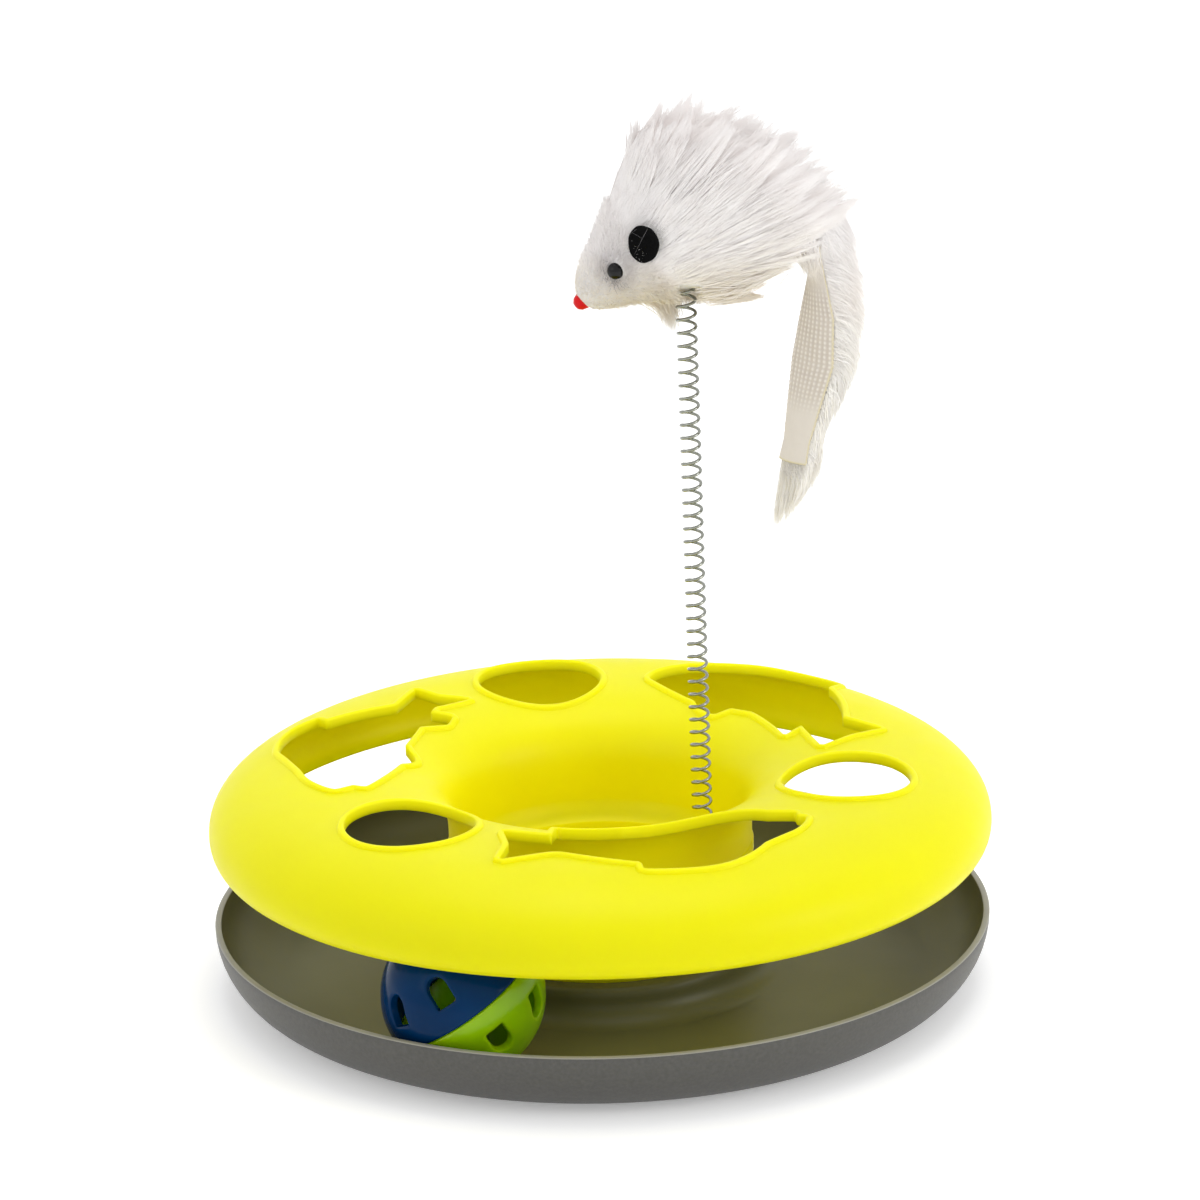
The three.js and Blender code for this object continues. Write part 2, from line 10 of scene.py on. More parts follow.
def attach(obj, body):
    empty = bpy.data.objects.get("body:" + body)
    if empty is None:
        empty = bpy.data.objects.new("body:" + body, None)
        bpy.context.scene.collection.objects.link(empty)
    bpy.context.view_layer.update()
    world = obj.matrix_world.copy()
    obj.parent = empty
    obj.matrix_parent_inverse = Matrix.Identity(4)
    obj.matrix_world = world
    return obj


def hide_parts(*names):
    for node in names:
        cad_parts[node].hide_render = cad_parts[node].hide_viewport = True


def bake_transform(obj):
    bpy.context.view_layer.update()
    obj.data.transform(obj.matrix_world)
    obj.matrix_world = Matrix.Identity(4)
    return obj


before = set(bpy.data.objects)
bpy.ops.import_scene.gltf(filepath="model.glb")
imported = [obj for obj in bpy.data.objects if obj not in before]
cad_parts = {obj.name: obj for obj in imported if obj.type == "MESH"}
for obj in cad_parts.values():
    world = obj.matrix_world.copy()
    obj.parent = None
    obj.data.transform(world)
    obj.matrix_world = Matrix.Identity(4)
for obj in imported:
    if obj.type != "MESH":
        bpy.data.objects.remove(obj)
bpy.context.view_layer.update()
scene = bpy.context.scene
rng = np.random.default_rng(831)
MM = 0.001
TAU = 2 * np.pi

# Camera
LENS, SENSOR, SHIFT_RIGHT = 146.3, 36, 0.0041
CAMERA_AT, CAMERA_AIM = (0, -1.3904, 0.5655), (0, 0, 0.1196)
CAMERA_ROLL = math.radians(-1.33)


def linked(name, data):
    """A new object in the scene."""
    piece = bpy.data.objects.new(name, data)
    scene.collection.objects.link(piece)
    return piece


def make_camera():
    data = bpy.data.cameras.new("camera")
    data.lens = LENS
    data.sensor_width = SENSOR
    data.shift_x = SHIFT_RIGHT
    camera = linked("camera", data)
    camera.location = CAMERA_AT
    aim = Vector(CAMERA_AIM) - camera.location
    roll = Quaternion((0, 0, 1), CAMERA_ROLL)
    camera.rotation_euler = (aim.to_track_quat("-Z", "Y") @ roll).to_euler()
    scene.camera = camera


make_camera()

# Materials, with colours as sRGB values of 0 to 255
NOISE_LOW, NOISE_HIGH, NOISE_DETAIL = 0.2, 0.8, 3.0
WHITE = (255, 255, 255)


def linear(*srgb):
    """A linear colour with alpha."""
    shares = [value / 255 for value in srgb]
    return tuple(c / 12.92 if c <= 0.04045 else ((c + 0.055) / 1.055) ** 2.4 for c in shares) + (1.0,)


class Graph:
    """The shader nodes of a material or a world, whose sockets take a constant or another node's output."""

    def __init__(self, owner):
        owner.use_nodes = True
        self.nodes, self.links = owner.node_tree.nodes, owner.node_tree.links
        self.shader = self.nodes.get("Principled BSDF")

    def put(self, value, socket):
        if isinstance(value, bpy.types.NodeSocket):
            self.links.new(value, socket)
        else:
            socket.default_value = value

    def feed(self, node, **sockets):
        for name, value in sockets.items():
            self.put(value, node.inputs[name.replace("_", " ")])

    def add(self, kind, *values, operation=None, **sockets):
        """A new node, with its sockets fed in order or by name."""
        node = self.nodes.new("ShaderNode" + kind)
        if operation:
            node.operation = operation
        for value, socket in zip(values, node.inputs):
            self.put(value, socket)
        self.feed(node, **sockets)
        return node

    def place(self):
        return self.add("TexCoord").outputs["Object"]

    def noise(self, scale, stretch=None):
        place = self.place()
        if stretch:
            place = self.add("Mapping", Vector=place, Scale=stretch).outputs["Vector"]
        return self.add("TexNoise", Vector=place, Scale=scale, Detail=NOISE_DETAIL).outputs["Fac"]

    def ramp(self, source, low, high, start=NOISE_LOW, end=NOISE_HIGH):
        node = self.add("ValToRGB", Fac=source)
        first, last = node.color_ramp.elements
        first.position, last.position = start, end
        first.color, last.color = linear(*low), linear(*high)
        return node.outputs["Color"]

    def spread(self, source, low, high, start=0.0, end=1.0):
        node = self.add("MapRange", Value=source, From_Min=start, From_Max=end, To_Min=low, To_Max=high)
        return node.outputs["Result"]

    def mix(self, first, second, share=1.0, blend="MULTIPLY"):
        node = self.nodes.new("ShaderNodeMix")
        node.data_type = "RGBA"
        node.blend_type = blend
        self.feed(node, Factor=share, A=first, B=second)
        return node.outputs["Result"]

    def colour(self):
        """What the surface's colour is linked to."""
        return self.shader.inputs["Base Color"].links[0].from_socket


def material(name, low, high, rough, patch=60, grain=1500, bump=0.05, depth=0.0002, stretch=None, **sockets):
    """A surface with patches of two close colours, roughness that varies and a fine grain."""
    mat = bpy.data.materials.new(name)
    graph = Graph(mat)
    colour = graph.ramp(graph.noise(patch, stretch), low, high)
    roughness = graph.spread(graph.noise(patch * 3), *rough, NOISE_LOW, NOISE_HIGH)
    relief = graph.add("Bump", Height=graph.noise(grain, stretch), Strength=bump, Distance=depth)
    normal = relief.outputs["Normal"]
    graph.feed(graph.shader, Base_Color=colour, Roughness=roughness, Normal=normal, **sockets)
    return mat


def knit_material():
    """Cream knitted backing: rows of pale stitches on a darker ground, with a yellowed seam."""
    mat = material(
        "knit_cream", (208, 198, 188), (217, 208, 198), (0.8, 0.95), patch=300, grain=2200, bump=0.25)
    graph = Graph(mat)
    marks = graph.add("Attribute")
    marks.attribute_name = "stitch"
    parts = graph.add("SeparateColor", Color=marks.outputs["Color"]).outputs
    pale = graph.mix(graph.colour(), linear(248, 243, 236), parts["Red"], "MIX")
    seamed = graph.mix(pale, linear(226, 216, 186), parts["Green"], "MIX")
    graph.feed(graph.shader, Base_Color=seamed)
    return mat


# Heights over which the painted tint of the lid's bounced yellow light is spread, and its places for the
# belly and the top
FUR_LOW, FUR_HIGH, FUR_BELLY, FUR_TOP = 0.2, 0.24, 0.25, 0.7
EYE_SHADE_AT, EYE_SHADE = (0.0084, 0.0115, 0.2236), (0.002, 0.008)


def fur_material(name, belly):
    """White pile with a painted tint of yellow light bounced up from the lid, warmest at the height of the
    belly and cool white on top, and grey round the eyes.
    """
    mat = material(name, (249, 248, 248), WHITE, (0.7, 0.85), patch=160, Sheen_Weight=0.3)
    graph = Graph(mat)
    place = graph.place()
    z = graph.add("SeparateXYZ", Vector=place).outputs["Z"]
    height = graph.spread(z, 0.0, 1.0, FUR_LOW, FUR_HIGH)
    # Painted tint of yellow light bounced from the lid, by height
    painted_bounce = graph.ramp(height, (255, 253, 249), (255, 253, 252), 0, FUR_TOP)
    painted_bounce.node.color_ramp.elements.new(FUR_BELLY).color = linear(*belly)
    mirrored = graph.add("VectorMath", place, operation="ABSOLUTE").outputs["Vector"]
    gap = graph.add("VectorMath", mirrored, EYE_SHADE_AT, operation="DISTANCE").outputs["Value"]
    shaded = graph.ramp(graph.spread(gap, 0.0, 1.0, *EYE_SHADE), (222, 219, 221), WHITE, 0, 1)
    graph.feed(graph.shader, Base_Color=graph.mix(graph.mix(graph.colour(), painted_bounce), shaded))
    return mat


yellow = material(
    "lid_yellow", (239, 226, 2), (244, 231, 4), (0.38, 0.46), patch=30, bump=0.06, Specular_IOR_Level=0.12,
    Subsurface_Weight=0.9, Subsurface_Radius=(1.0, 0.88, 0.02), Subsurface_Scale=0.008)
# The tray's one grey plastic, in three copies. Outside: darkened to the tone of its unlit front, as painted
# shade.
grey_outside_painted_shade = material(
    "tray_grey_outside_painted_shade", (68, 67, 63), (82, 81, 77), (0.42, 0.5), patch=900, grain=2600, bump=0.14)
# Inside: lighter than the outside and olive, as painted light and a painted reflection of the yellow lid.
grey_inside_painted_reflection = material(
    "tray_grey_inside_painted_reflection", (91, 90, 52), (97, 96, 57), (0.38, 0.42), patch=25, grain=900, bump=0.01,
    Specular_IOR_Level=0.3)
# Rim: lighter, as a painted highlight along its edges.
grey_rim_painted_highlight = material("tray_grey_rim_painted_highlight", (144, 142, 130), (154, 152, 140), (0.35, 0.45), grain=2600, bump=0.1)
blue = material("ball_blue", (0, 40, 78), (0, 48, 92), (0.1, 0.16), bump=0.02, Specular_IOR_Level=0.08)
green = material(
    "ball_green", (138, 184, 0), (150, 198, 6), (0.16, 0.24), bump=0.03, Specular_IOR_Level=0.25,
    Subsurface_Weight=0.8, Subsurface_Radius=(0.8, 1.0, 0.05), Subsurface_Scale=0.008)
fur_base = material(
    "fur_base", (232, 229, 227), (250, 248, 247), (0.85, 0.95), patch=700, grain=1800, bump=0.8, depth=0.0008,
    Sheen_Weight=0.3)
# Belly colours: the painted tint of the lid's bounced yellow light, strong on the body and faint on the tail
fur = fur_material("fur_white", (244, 236, 221))
fur_tail = fur_material("fur_tail", (255, 252, 248))
fur_grey = material("fur_grey", (120, 117, 121), (150, 147, 150), (0.7, 0.9), patch=400)
felt = material(
    "felt_black", (7, 7, 8), (16, 16, 17), (0.85, 0.98), patch=700, grain=2200, bump=0.5, depth=0.0006,
    Specular_IOR_Level=0.1)
bead_black = material(
    "eye_black", (3, 3, 4), (8, 8, 9), (0.06, 0.1), patch=300, bump=0.01, Specular_IOR_Level=0.3)
red = material(
    "nose_red", (206, 6, 14), (226, 18, 24), (0.3, 0.42), patch=500, bump=0.05, Specular_IOR_Level=0.2)
steel = material(
    "spring_steel", (136, 138, 130), (160, 162, 154), (0.14, 0.24), patch=500, bump=0.03, stretch=(1, 1, 4),
    Metallic=1.0)
nickel = material(
    "bell_nickel", (196, 192, 180), (216, 212, 202), (0.15, 0.28), patch=300, bump=0.04, Metallic=1.0)
knit = knit_material()

# Mesh helpers, in millimetres
SAME_PLACE, TINY, AT_ONCE, CURVE_STEPS = 1e-7, 1e-12, 2000, 24


def made(name, verts, faces, *materials, sharp=None, closed=True):
    """A smooth piece of mesh, with edges over the sharp angle kept sharp."""
    mesh = bpy.data.meshes.new(name)
    points = np.asarray(verts, float) * MM
    mesh.from_pydata(points.tolist(), [], [list(map(int, face)) for face in faces])
    if closed:
        work = bmesh.new()
        work.from_mesh(mesh)
        bmesh.ops.remove_doubles(work, verts=work.verts, dist=SAME_PLACE)
        bmesh.ops.dissolve_degenerate(work, edges=work.edges, dist=SAME_PLACE)
        bmesh.ops.recalc_face_normals(work, faces=work.faces)
        work.to_mesh(mesh)
        work.free()
    mesh.polygons.foreach_set("use_smooth", [True] * len(mesh.polygons))
    if sharp:
        mesh.set_sharp_from_angle(angle=math.radians(sharp))
    for mat in materials:
        mesh.materials.append(mat)
    return linked(name, mesh)


def belongs(piece, body, slot, *nodes):
    """The piece rides a body and stands for CAD nodes, which are hidden; its slot is not used."""
    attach(piece, body)
    if nodes:
        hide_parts(*nodes)


class Shell:
    """Vertices and faces that grow ring by ring."""

    def __init__(self):
        self.verts, self.faces = [], []

    def add(self, points):
        first = len(self.verts)
        self.verts.extend(np.asarray(points, float).reshape(-1, 3).tolist())
        return list(range(first, len(self.verts)))

    def ring(self, radius, height, sides):
        return self.add(np.column_stack([circle(radius, sides), np.full(sides, height)]))

    def join(self, a, b):
        n = len(a)
        self.faces.extend([a[i], a[(i + 1) % n], b[(i + 1) % n], b[i]] for i in range(n))

    def close(self, ring, point):
        tip = self.add([point])[0]
        n = len(ring)
        self.faces.extend([ring[i], ring[(i + 1) % n], tip] for i in range(n))

    def sweep(self, start, profile, sides):
        last = start
        for radius, height in profile:
            if radius == 0:
                self.close(last, (0, 0, height))
                return None
            here = self.ring(radius, height, sides)
            self.join(last, here)
            last = here
        return last


def lathe(profile, sides):
    """A closed solid of revolution: its profile starts and ends on the axis."""
    shell = Shell()
    start = shell.ring(*profile[1], sides)
    shell.close(start, (0, 0, profile[0][1]))
    shell.sweep(start, profile[2:], sides)
    return shell


def tube(rings):
    """A closed solid from rings of points, joined in turn."""
    shell = Shell()
    loops = [shell.add(ring) for ring in rings]
    for a, b in zip(loops, loops[1:]):
        shell.join(a, b)
    shell.faces.extend([loops[0][::-1], loops[-1]])
    return shell


def ball_profile(radius, steps):
    turn = np.linspace(0, np.pi, steps)[1:-1]
    return [(0, -radius), *[(radius * math.sin(t), -radius * math.cos(t)) for t in turn], (0, radius)]


def circle(radius, sides):
    turn = TAU * np.arange(sides) / sides
    return np.stack([radius * np.cos(turn), radius * np.sin(turn)], 1)


def smoothstep(low, high, x):
    t = np.clip((x - low) / (high - low), 0, 1)
    return t * t * (3 - 2 * t)


def path(*steps):
    """An outline from its first point through lines (x, y) and curves (cx, cy, x, y)."""
    points = [np.array(steps[0], float)]
    for step in steps[1:]:
        if len(step) == 2:
            points.append(np.array(step, float))
            continue
        a, c, b = points[-1], np.array(step[:2], float), np.array(step[2:], float)
        for i in range(1, CURVE_STEPS + 1):
            t = i / CURVE_STEPS
            points.append((1 - t) ** 2 * a + 2 * t * (1 - t) * c + t * t * b)
    return np.array(points)


def resampled(points, spacing):
    closed = np.vstack([points, points[:1]])
    along = np.concatenate([[0], np.cumsum(np.linalg.norm(np.diff(closed, axis=0), axis=1))])
    count = max(8, int(round(along[-1] / spacing)))
    at = np.linspace(0, along[-1], count, endpoint=False)
    return np.stack([np.interp(at, along, closed[:, k]) for k in range(2)], 1)


def rounded(points, radius, spacing):
    """The outline with its corners eased by about that radius."""
    step = 0.2
    dense = resampled(points, step)
    reach = int(round(3 * radius / step))
    weights = np.exp(-0.5 * (np.arange(-reach, reach + 1) * step / radius) ** 2)
    weights /= weights.sum()
    eased = sum(w * np.roll(dense, k, axis=0) for w, k in zip(weights, range(-reach, reach + 1)))
    return resampled(eased, spacing)


def distance_to(points, outline):
    a = outline
    ab = np.roll(outline, -1, axis=0) - a
    length = (ab ** 2).sum(1)
    best = np.full(len(points), np.inf)
    for first in range(0, len(points), AT_ONCE):
        p = points[first:first + AT_ONCE, None, :]
        t = np.clip(((p - a) * ab).sum(2) / length, 0, 1)
        near = a + t[..., None] * ab
        best[first:first + AT_ONCE] = np.sqrt(((p - near) ** 2).sum(2).min(1))
    return best


def distance_to_any(points, outlines):
    return np.min([distance_to(points, outline) for outline in outlines], axis=0)


def inside(points, outline):
    x, y = points[:, 0, None], points[:, 1, None]
    a, b = outline, np.roll(outline, -1, axis=0)
    crosses = (a[:, 1] > y) != (b[:, 1] > y)
    rise = np.where(np.abs(b[:, 1] - a[:, 1]) < TINY, TINY, b[:, 1] - a[:, 1])
    at = (b[:, 0] - a[:, 0]) * (y - a[:, 1]) / rise + a[:, 0]
    return (crosses & (x < at)).sum(1) % 2 == 1


def inside_any(points, outlines):
    return np.any([inside(points, outline) for outline in outlines], axis=0)


def beside(outline, offset):
    """Points at an offset outside the outline."""
    ahead = np.roll(outline, -1, axis=0) - np.roll(outline, 1, axis=0)
    ahead /= np.linalg.norm(ahead, axis=1)[:, None]
    area = (outline[:, 0] * np.roll(outline[:, 1], -1) - np.roll(outline[:, 0], -1) * outline[:, 1]).sum()
    out = np.stack([ahead[:, 1], -ahead[:, 0]], 1) * np.sign(area)
    return outline + offset * out


ROW_SHARE, FILL_GAP = 0.93, 0.8


def sheet_points(outlines, rows, fill):
    """Points of a pierced sheet: rows beside its holes, and those of the fill that keep clear of them."""
    beside_holes = []
    for outline in outlines:
        for row in rows:
            points = beside(outline, row)
            beside_holes.append(points[distance_to_any(points, outlines) > ROW_SHARE * row])
    clear = distance_to_any(fill, outlines) > rows[-1] + FILL_GAP
    return np.vstack([*beside_holes, fill[clear & ~inside_any(fill, outlines)]])


def pierced_sheet(borders, outlines, rows, fill):
    """Triangles of a flat sheet with holes, inside its last border and outside the others."""
    loops = [*borders, *outlines]
    starts = np.cumsum([0] + [len(loop) for loop in loops])
    edges = [(s + i, s + (i + 1) % len(loop)) for s, loop in zip(starts, loops) for i in range(len(loop))]
    verts = np.vstack([*loops, sheet_points(outlines, rows, fill)])
    result = delaunay_2d_cdt([Vector(v) for v in verts.tolist()], edges, [], 0, 1e-6, True)
    places, triangles = np.array([tuple(v) for v in result[0]]), np.array(result[2])
    new_index = {old: new for new, olds in enumerate(result[3]) for old in olds}
    middle = places[triangles].mean(1)
    bad = inside_any(middle, [*borders[:-1], *outlines]) | ~inside(middle, borders[-1])
    indices = [[new_index[s + i] for i in range(len(loop))] for s, loop in zip(starts, loops)]
    return places, triangles[~bad], indices[:len(borders)], indices[len(borders):]


def two_skins(shell, outside, within, triangles, holes):
    """The faces of a pierced wall: both its skins, and the walls of its holes."""
    for a, b, c in triangles:
        shell.faces.append([outside[a], outside[b], outside[c]])
        shell.faces.append([within[c], within[b], within[a]])
    for hole in holes:
        shell.join([outside[i] for i in hole], [within[i] for i in hole])


# Lid, with profiles as radius and height
CROWN_R, CROWN_Z, BULGE_Z, THROAT_Z = 83.7, 69.4, 50.4, 46.0
OUTER_N, INNER_N = 2.17, 3.1
LID_R, THROAT_R, WALL = 118.6, 43.8, 2.3
LID_SIDES, SHEET_IN, SHEET_OUT = 240, 50.0, 112.0
BEAD_RISE, BEAD_AT, BEAD_HALF = 1.1, 1.05, 1.15
BEAD_ROWS = [0.12, 0.35, 0.7, 1.1, 1.5, 1.85, 2.08, 2.25, 2.9, 3.9]
FISH_TURN, HOLE_TURN, HOLE_R, HOLE_IN = 43.7, -16.3, 19.3, 6.9
LIP_R, LIP_WIDE, LIP_DROP = 114, 4.6, 6.4
LIP_EDGE = [(114, 44.05), (113.6, 43.9), (112.1, 43.9), (111.75, 44.1)]
WELL = [
    (43.8, 43), (43.8, 40.6), (43.6, 39.7), (42.3, 36.7), (41.2, 35.3), (40, 34.6), (39.55, 34.3),
    (39.4, 33.8), (39.4, 27), (39.4, 21.2), (39.1, 20.4), (38.3, 20), (20, 20), (0, 20)]
RIDGE_R, RIDGE_RISE, RIDGE_HEIGHTS = 46.1, 0.45, (43.4, 42.0, 40.6)
RIDGE = ((0.45, 0), (0.2, 0.8), (0, 1), (-0.2, 0.8), (-0.45, 0))
NECK = [
    (46.1, 39), (45.7, 38.4), (42, 33.9), (41.7, 33.2), (41.7, 18), (41.7, 3.5), (41.4, 3), (39.7, 3),
    (39.4, 3.4), (39.4, 17), (38.7, 17.7), (20, 17.7), (0, 17.7)]
PAD = [(0, 19.5), (5, 19.5), (5, 21.1), (4.6, 21.5), (2.4, 21.5), (0, 21.5)]
STUD = [(0, 21), (1.97, 21), (1.97, 28.6), (1.5, 29.6), (0.8, 30.1), (0, 30.3)]
SPRING_X = 31.5


def crown(r, sunk):
    """Height of the lid's crown over a radius, for the top or for a surface sunk below it."""
    outer = np.clip((r - CROWN_R) / (LID_R - CROWN_R - sunk), 0, 1)
    inner = np.clip((CROWN_R - r) / (CROWN_R - THROAT_R - sunk), 0, 1)
    high = BULGE_Z + (CROWN_Z - sunk - BULGE_Z) * (1 - outer ** OUTER_N) ** (1 / OUTER_N)
    low = THROAT_Z + (CROWN_Z - sunk - THROAT_Z) * (1 - inner ** INNER_N) ** (1 / INNER_N)
    return np.where(r >= CROWN_R, high, low)


def crown_side(outside, z, sunk):
    """Radius of the lid's crown at a height, on its outer or inner side."""
    base, exponent = (BULGE_Z, OUTER_N) if outside else (THROAT_Z, INNER_N)
    share = (1 - ((z - base) / (CROWN_Z - sunk - base)) ** exponent) ** (1 / exponent)
    if outside:
        return CROWN_R + (LID_R - CROWN_R - sunk) * share
    return CROWN_R - (CROWN_R - THROAT_R - sunk) * share


def side_line(outside, sunk, steps):
    """The crown's side from the edge of the pierced sheet down to its foot."""
    top = float(crown(np.array(SHEET_OUT if outside else SHEET_IN), sunk))
    heights = np.linspace(top, BULGE_Z if outside else THROAT_Z, steps + 1)[1:]
    return [(float(crown_side(outside, z, sunk)), float(z)) for z in heights]


def fish_outlines():
    """The outlines of three fish and three round holes, in turn, as they lie on the lid."""
    round_fish = path(
        (-41, -21.5), (-46.5, -15, -40.5, -3.5), (-36, 3, -30, 10), (-25, 20, -13.5, 22.5), (-4, 24, 3, 19.5),
        (6, 11), (19, 4.5, 30.5, -8.5), (46, -7.5), (43, -18), (42.5, -30.5), (25, -21), (25.5, -29),
        (14, -23, 4, -21), (-4, -22.5), (-6, -27.5), (-13, -28.5, -17, -25), (-30, -24.5, -41, -21.5))
    finned_fish = path(
        (-45.5, -15), (-43, -8, -36, -2.5), (-31, 0.5, -28, 3), (-13.5, 14), (0, 19.5, 10.5, 16.5),
        (17.5, 12), (14, 8), (22, 2.5, 31.5, -9), (48, -10), (43, -19), (43, -29.5), (33, -21), (28.5, -21),
        (28.5, -28.5), (22, -28.5), (16, -21.5), (0, -22), (-7, -27.5), (-11, -29.5, -15.5, -25.5),
        (-30, -25.5, -41, -23), (-40.5, -19))
    slim_fish = path(
        (42, -30.5), (29.5, -22.5), (25, -34.5), (7.5, -29), (-8, -31, -21.5, -29), (-31, -27, -35, -22),
        (-43, -19), (-42.5, -15.5), (-45, -14.5), (-43, -9, -38.5, -5), (-27.5, 2), (-18, 13.5, -5, 13),
        (3, 12.8, 10.5, 10.5), (10, 6.5), (20, 1.5, 30, -7.5), (33.5, -8.5), (48.5, -7.5), (43, -19))
    hole = circle(HOLE_R, 120) - [0, HOLE_IN]
    placed = []
    for i, fish in enumerate((round_fish, finned_fish, slim_fish)):
        for outline, angle, ease in ((fish, FISH_TURN, 0.55), (hole, HOLE_TURN, 0.3)):
            turn = math.radians(angle + 120 * i - 90)
            c, s = math.cos(turn), math.sin(turn)
            eased = rounded(outline, ease, 0.9) + [0, CROWN_R]
            placed.append(eased @ [[c, s], [-s, c]])
    return placed


def lid_sheet(shell):
    """The pierced crown with its beads, as its top, its underside and its inner and outer edge."""
    outlines = fish_outlines()
    borders = [circle(SHEET_IN, LID_SIDES), circle(SHEET_OUT, LID_SIDES)]
    radii = np.arange(SHEET_IN + 2, SHEET_OUT - 1, 2.0)
    fill = np.vstack([circle(r, int(TAU * r / 2.2)) for r in radii])
    flat, triangles, edges, holes = pierced_sheet(borders, outlines, BEAD_ROWS, fill)
    radius = np.linalg.norm(flat, axis=1)
    gap = distance_to_any(flat, outlines)
    bead = BEAD_RISE * np.clip(1 - np.abs((gap - BEAD_AT) / BEAD_HALF) ** 2.6, 0, 1) ** 0.6
    top = shell.add(np.column_stack([flat, crown(radius, 0) + bead]))
    under = shell.add(np.column_stack([flat, crown(radius, WALL)]))
    two_skins(shell, top, under, triangles, holes)
    return top, under, edges


def lip_profile():
    """From the sheet's top down the outer side, round the lip and up again inside."""
    arc = np.linspace(0, np.pi / 2, 9)
    curve = [(LIP_WIDE * math.cos(t), BULGE_Z - LIP_DROP * math.sin(t)) for t in arc]
    outer = [(LIP_R + x, z) for x, z in curve[1:-1]]
    inner = [(LIP_R - WALL + x, z) for x, z in curve[-2::-1]]
    rising = side_line(True, WALL, 8)[-2::-1]
    return side_line(True, 0, 10) + outer + LIP_EDGE + inner + rising


def make_lid():
    shell = Shell()
    top, under, (inner, outer) = lid_sheet(shell)
    last = shell.sweep([top[i] for i in outer], lip_profile(), LID_SIDES)
    shell.join(last, [under[i] for i in outer])
    shell.sweep([top[i] for i in inner], side_line(False, 0, 12) + WELL, LID_SIDES)
    ridges = [(RIDGE_R + RIDGE_RISE * rise, z + dz) for z in RIDGE_HEIGHTS for dz, rise in RIDGE]
    shell.sweep([under[i] for i in inner], side_line(False, WALL, 8) + ridges + NECK, LID_SIDES)
    for part in (lathe(PAD, 40), lathe(STUD, 24)):
        base = len(shell.verts)
        shell.verts.extend([x + SPRING_X, y, z] for x, y, z in part.verts)
        shell.faces.extend([i + base for i in face] for face in part.faces)
    belongs(made("lid_shell", shell.verts, shell.faces, yellow, sharp=38), "lid", "lid_yellow", "lid")


# Tray, with profiles as radius and height
BEND_R, BEND_Z, BEND_OUTSIDE, BEND_INSIDE = 98, 21.4, (20, 20.9), (18.1, 18.6)
COVE_R, COVE_Z, COVE = 55.5, 10.3, 7.5
TRAY_UNDER = [
    (0, 0.5), (44.2, 0.5), (44.2, 11.2), (45.7, 11.2), (47.2, 0.5), (92, 0.5), (92.1, 0.1), (92.4, 0),
    (97.6, 0), (97.9, 0.15)]
TRAY_RIM = [(118, 21.15), (117.85, 21.38), (117.6, 21.45), (116.5, 21.45), (116.22, 21.38), (116.1, 21.15)]
TRAY_TRACK = (70, 2.8)
TRAY_SOCKET = [
    (47.7, 12.1), (47.3, 12.8), (46.8, 13.3), (46.2, 13.5), (42.6, 13.5), (42.3, 13.2), (42.3, 2.7), (0, 2.7)]
# Limits of its surfaces, as radius and height
TRAY_FLOOR, TRAY_WALL, RIM_FROM, FACES_UP = (99.9, 2.6), (98, 1), (115, 21.1), 0.15


def paint_tray(tray):
    """Its second material inside, with painted light and the lid's painted yellow reflection, and its third
    on the rim, with a painted highlight.
    """
    for face in tray.data.polygons:
        flat, z = face.center.to_2d() / MM, face.center.z / MM
        r = flat.length
        above_floor = r < TRAY_FLOOR[0] and z > TRAY_FLOOR[1]
        inner_wall = r > TRAY_WALL[0] and z > TRAY_WALL[1] and face.normal.to_2d().dot(flat) < 0
        if face.normal.z > FACES_UP or above_floor or inner_wall:
            face.material_index = 1
        if r > RIM_FROM[0] and z > RIM_FROM[1]:
            face.material_index = 2


def make_tray():
    turn = np.linspace(0, np.pi / 2, 15)
    (out_x, out_z), (in_x, in_z) = BEND_OUTSIDE, BEND_INSIDE
    outside = [(BEND_R + out_x * math.sin(t), BEND_Z - out_z * math.cos(t)) for t in turn[:-1]]
    inner = [(BEND_R + in_x * math.cos(t), BEND_Z - in_z * math.sin(t)) for t in turn[1:]]
    cove = [(COVE_R - COVE * math.sin(t), COVE_Z - COVE * math.cos(t)) for t in turn]
    shell = lathe([*TRAY_UNDER, *outside, *TRAY_RIM, *inner, TRAY_TRACK, *cove, *TRAY_SOCKET], 240)
    tray = made("tray_shell", shell.verts, shell.faces, grey_outside_painted_shade, grey_inside_painted_reflection, grey_rim_painted_highlight, sharp=42)
    paint_tray(tray)
    belongs(tray, "tray", "tray_grey", "tray")


# Ball
BALL_R, BALL_WALL, BALL_LEAN, GREEN_TURN, BALL_SIDES = 24.0, 2.4, 33.6, 16.5, 96
BALL_INNER_R, SHEET_EDGE_Z, SHEET_STEP = BALL_R - BALL_WALL, 2.4, 1.4
ORBIT_R, ORBIT_TURN, BALL_Z = 91.5, math.radians(-116.5), 27.1
BALL_PLACE = np.array([ORBIT_R * math.cos(ORBIT_TURN), ORBIT_R * math.sin(ORBIT_TURN), BALL_Z])
WINDOW_HALF, WINDOW_SILL, WINDOW_SHOULDER, WINDOWS = 3.2, 7.0, 12.2, 8
WINDOW_ROWS, WINDOW_EASE, WINDOW_EASE_WIDE = [0.15, 0.4, 0.75, 1.1], 0.42, 0.9


def window_outline(azimuth):
    """One arched window on the flattened half ball, whose radius is the arc from the pole."""
    half = WINDOW_HALF
    arch = [(half * math.cos(t), WINDOW_SHOULDER + half * math.sin(t)) for t in np.linspace(0, np.pi, 25)]
    outline = rounded(np.array([(-half, WINDOW_SILL), (half, WINDOW_SILL), *arch]), 0.35, 0.5)
    out = np.sqrt(BALL_R ** 2 - (outline ** 2).sum(1))
    from_pole = np.arccos(outline[:, 1] / BALL_R) * BALL_R
    around = np.arctan2(outline[:, 0], out) + azimuth
    return np.stack([from_pole * np.cos(around), from_pole * np.sin(around)], 1)


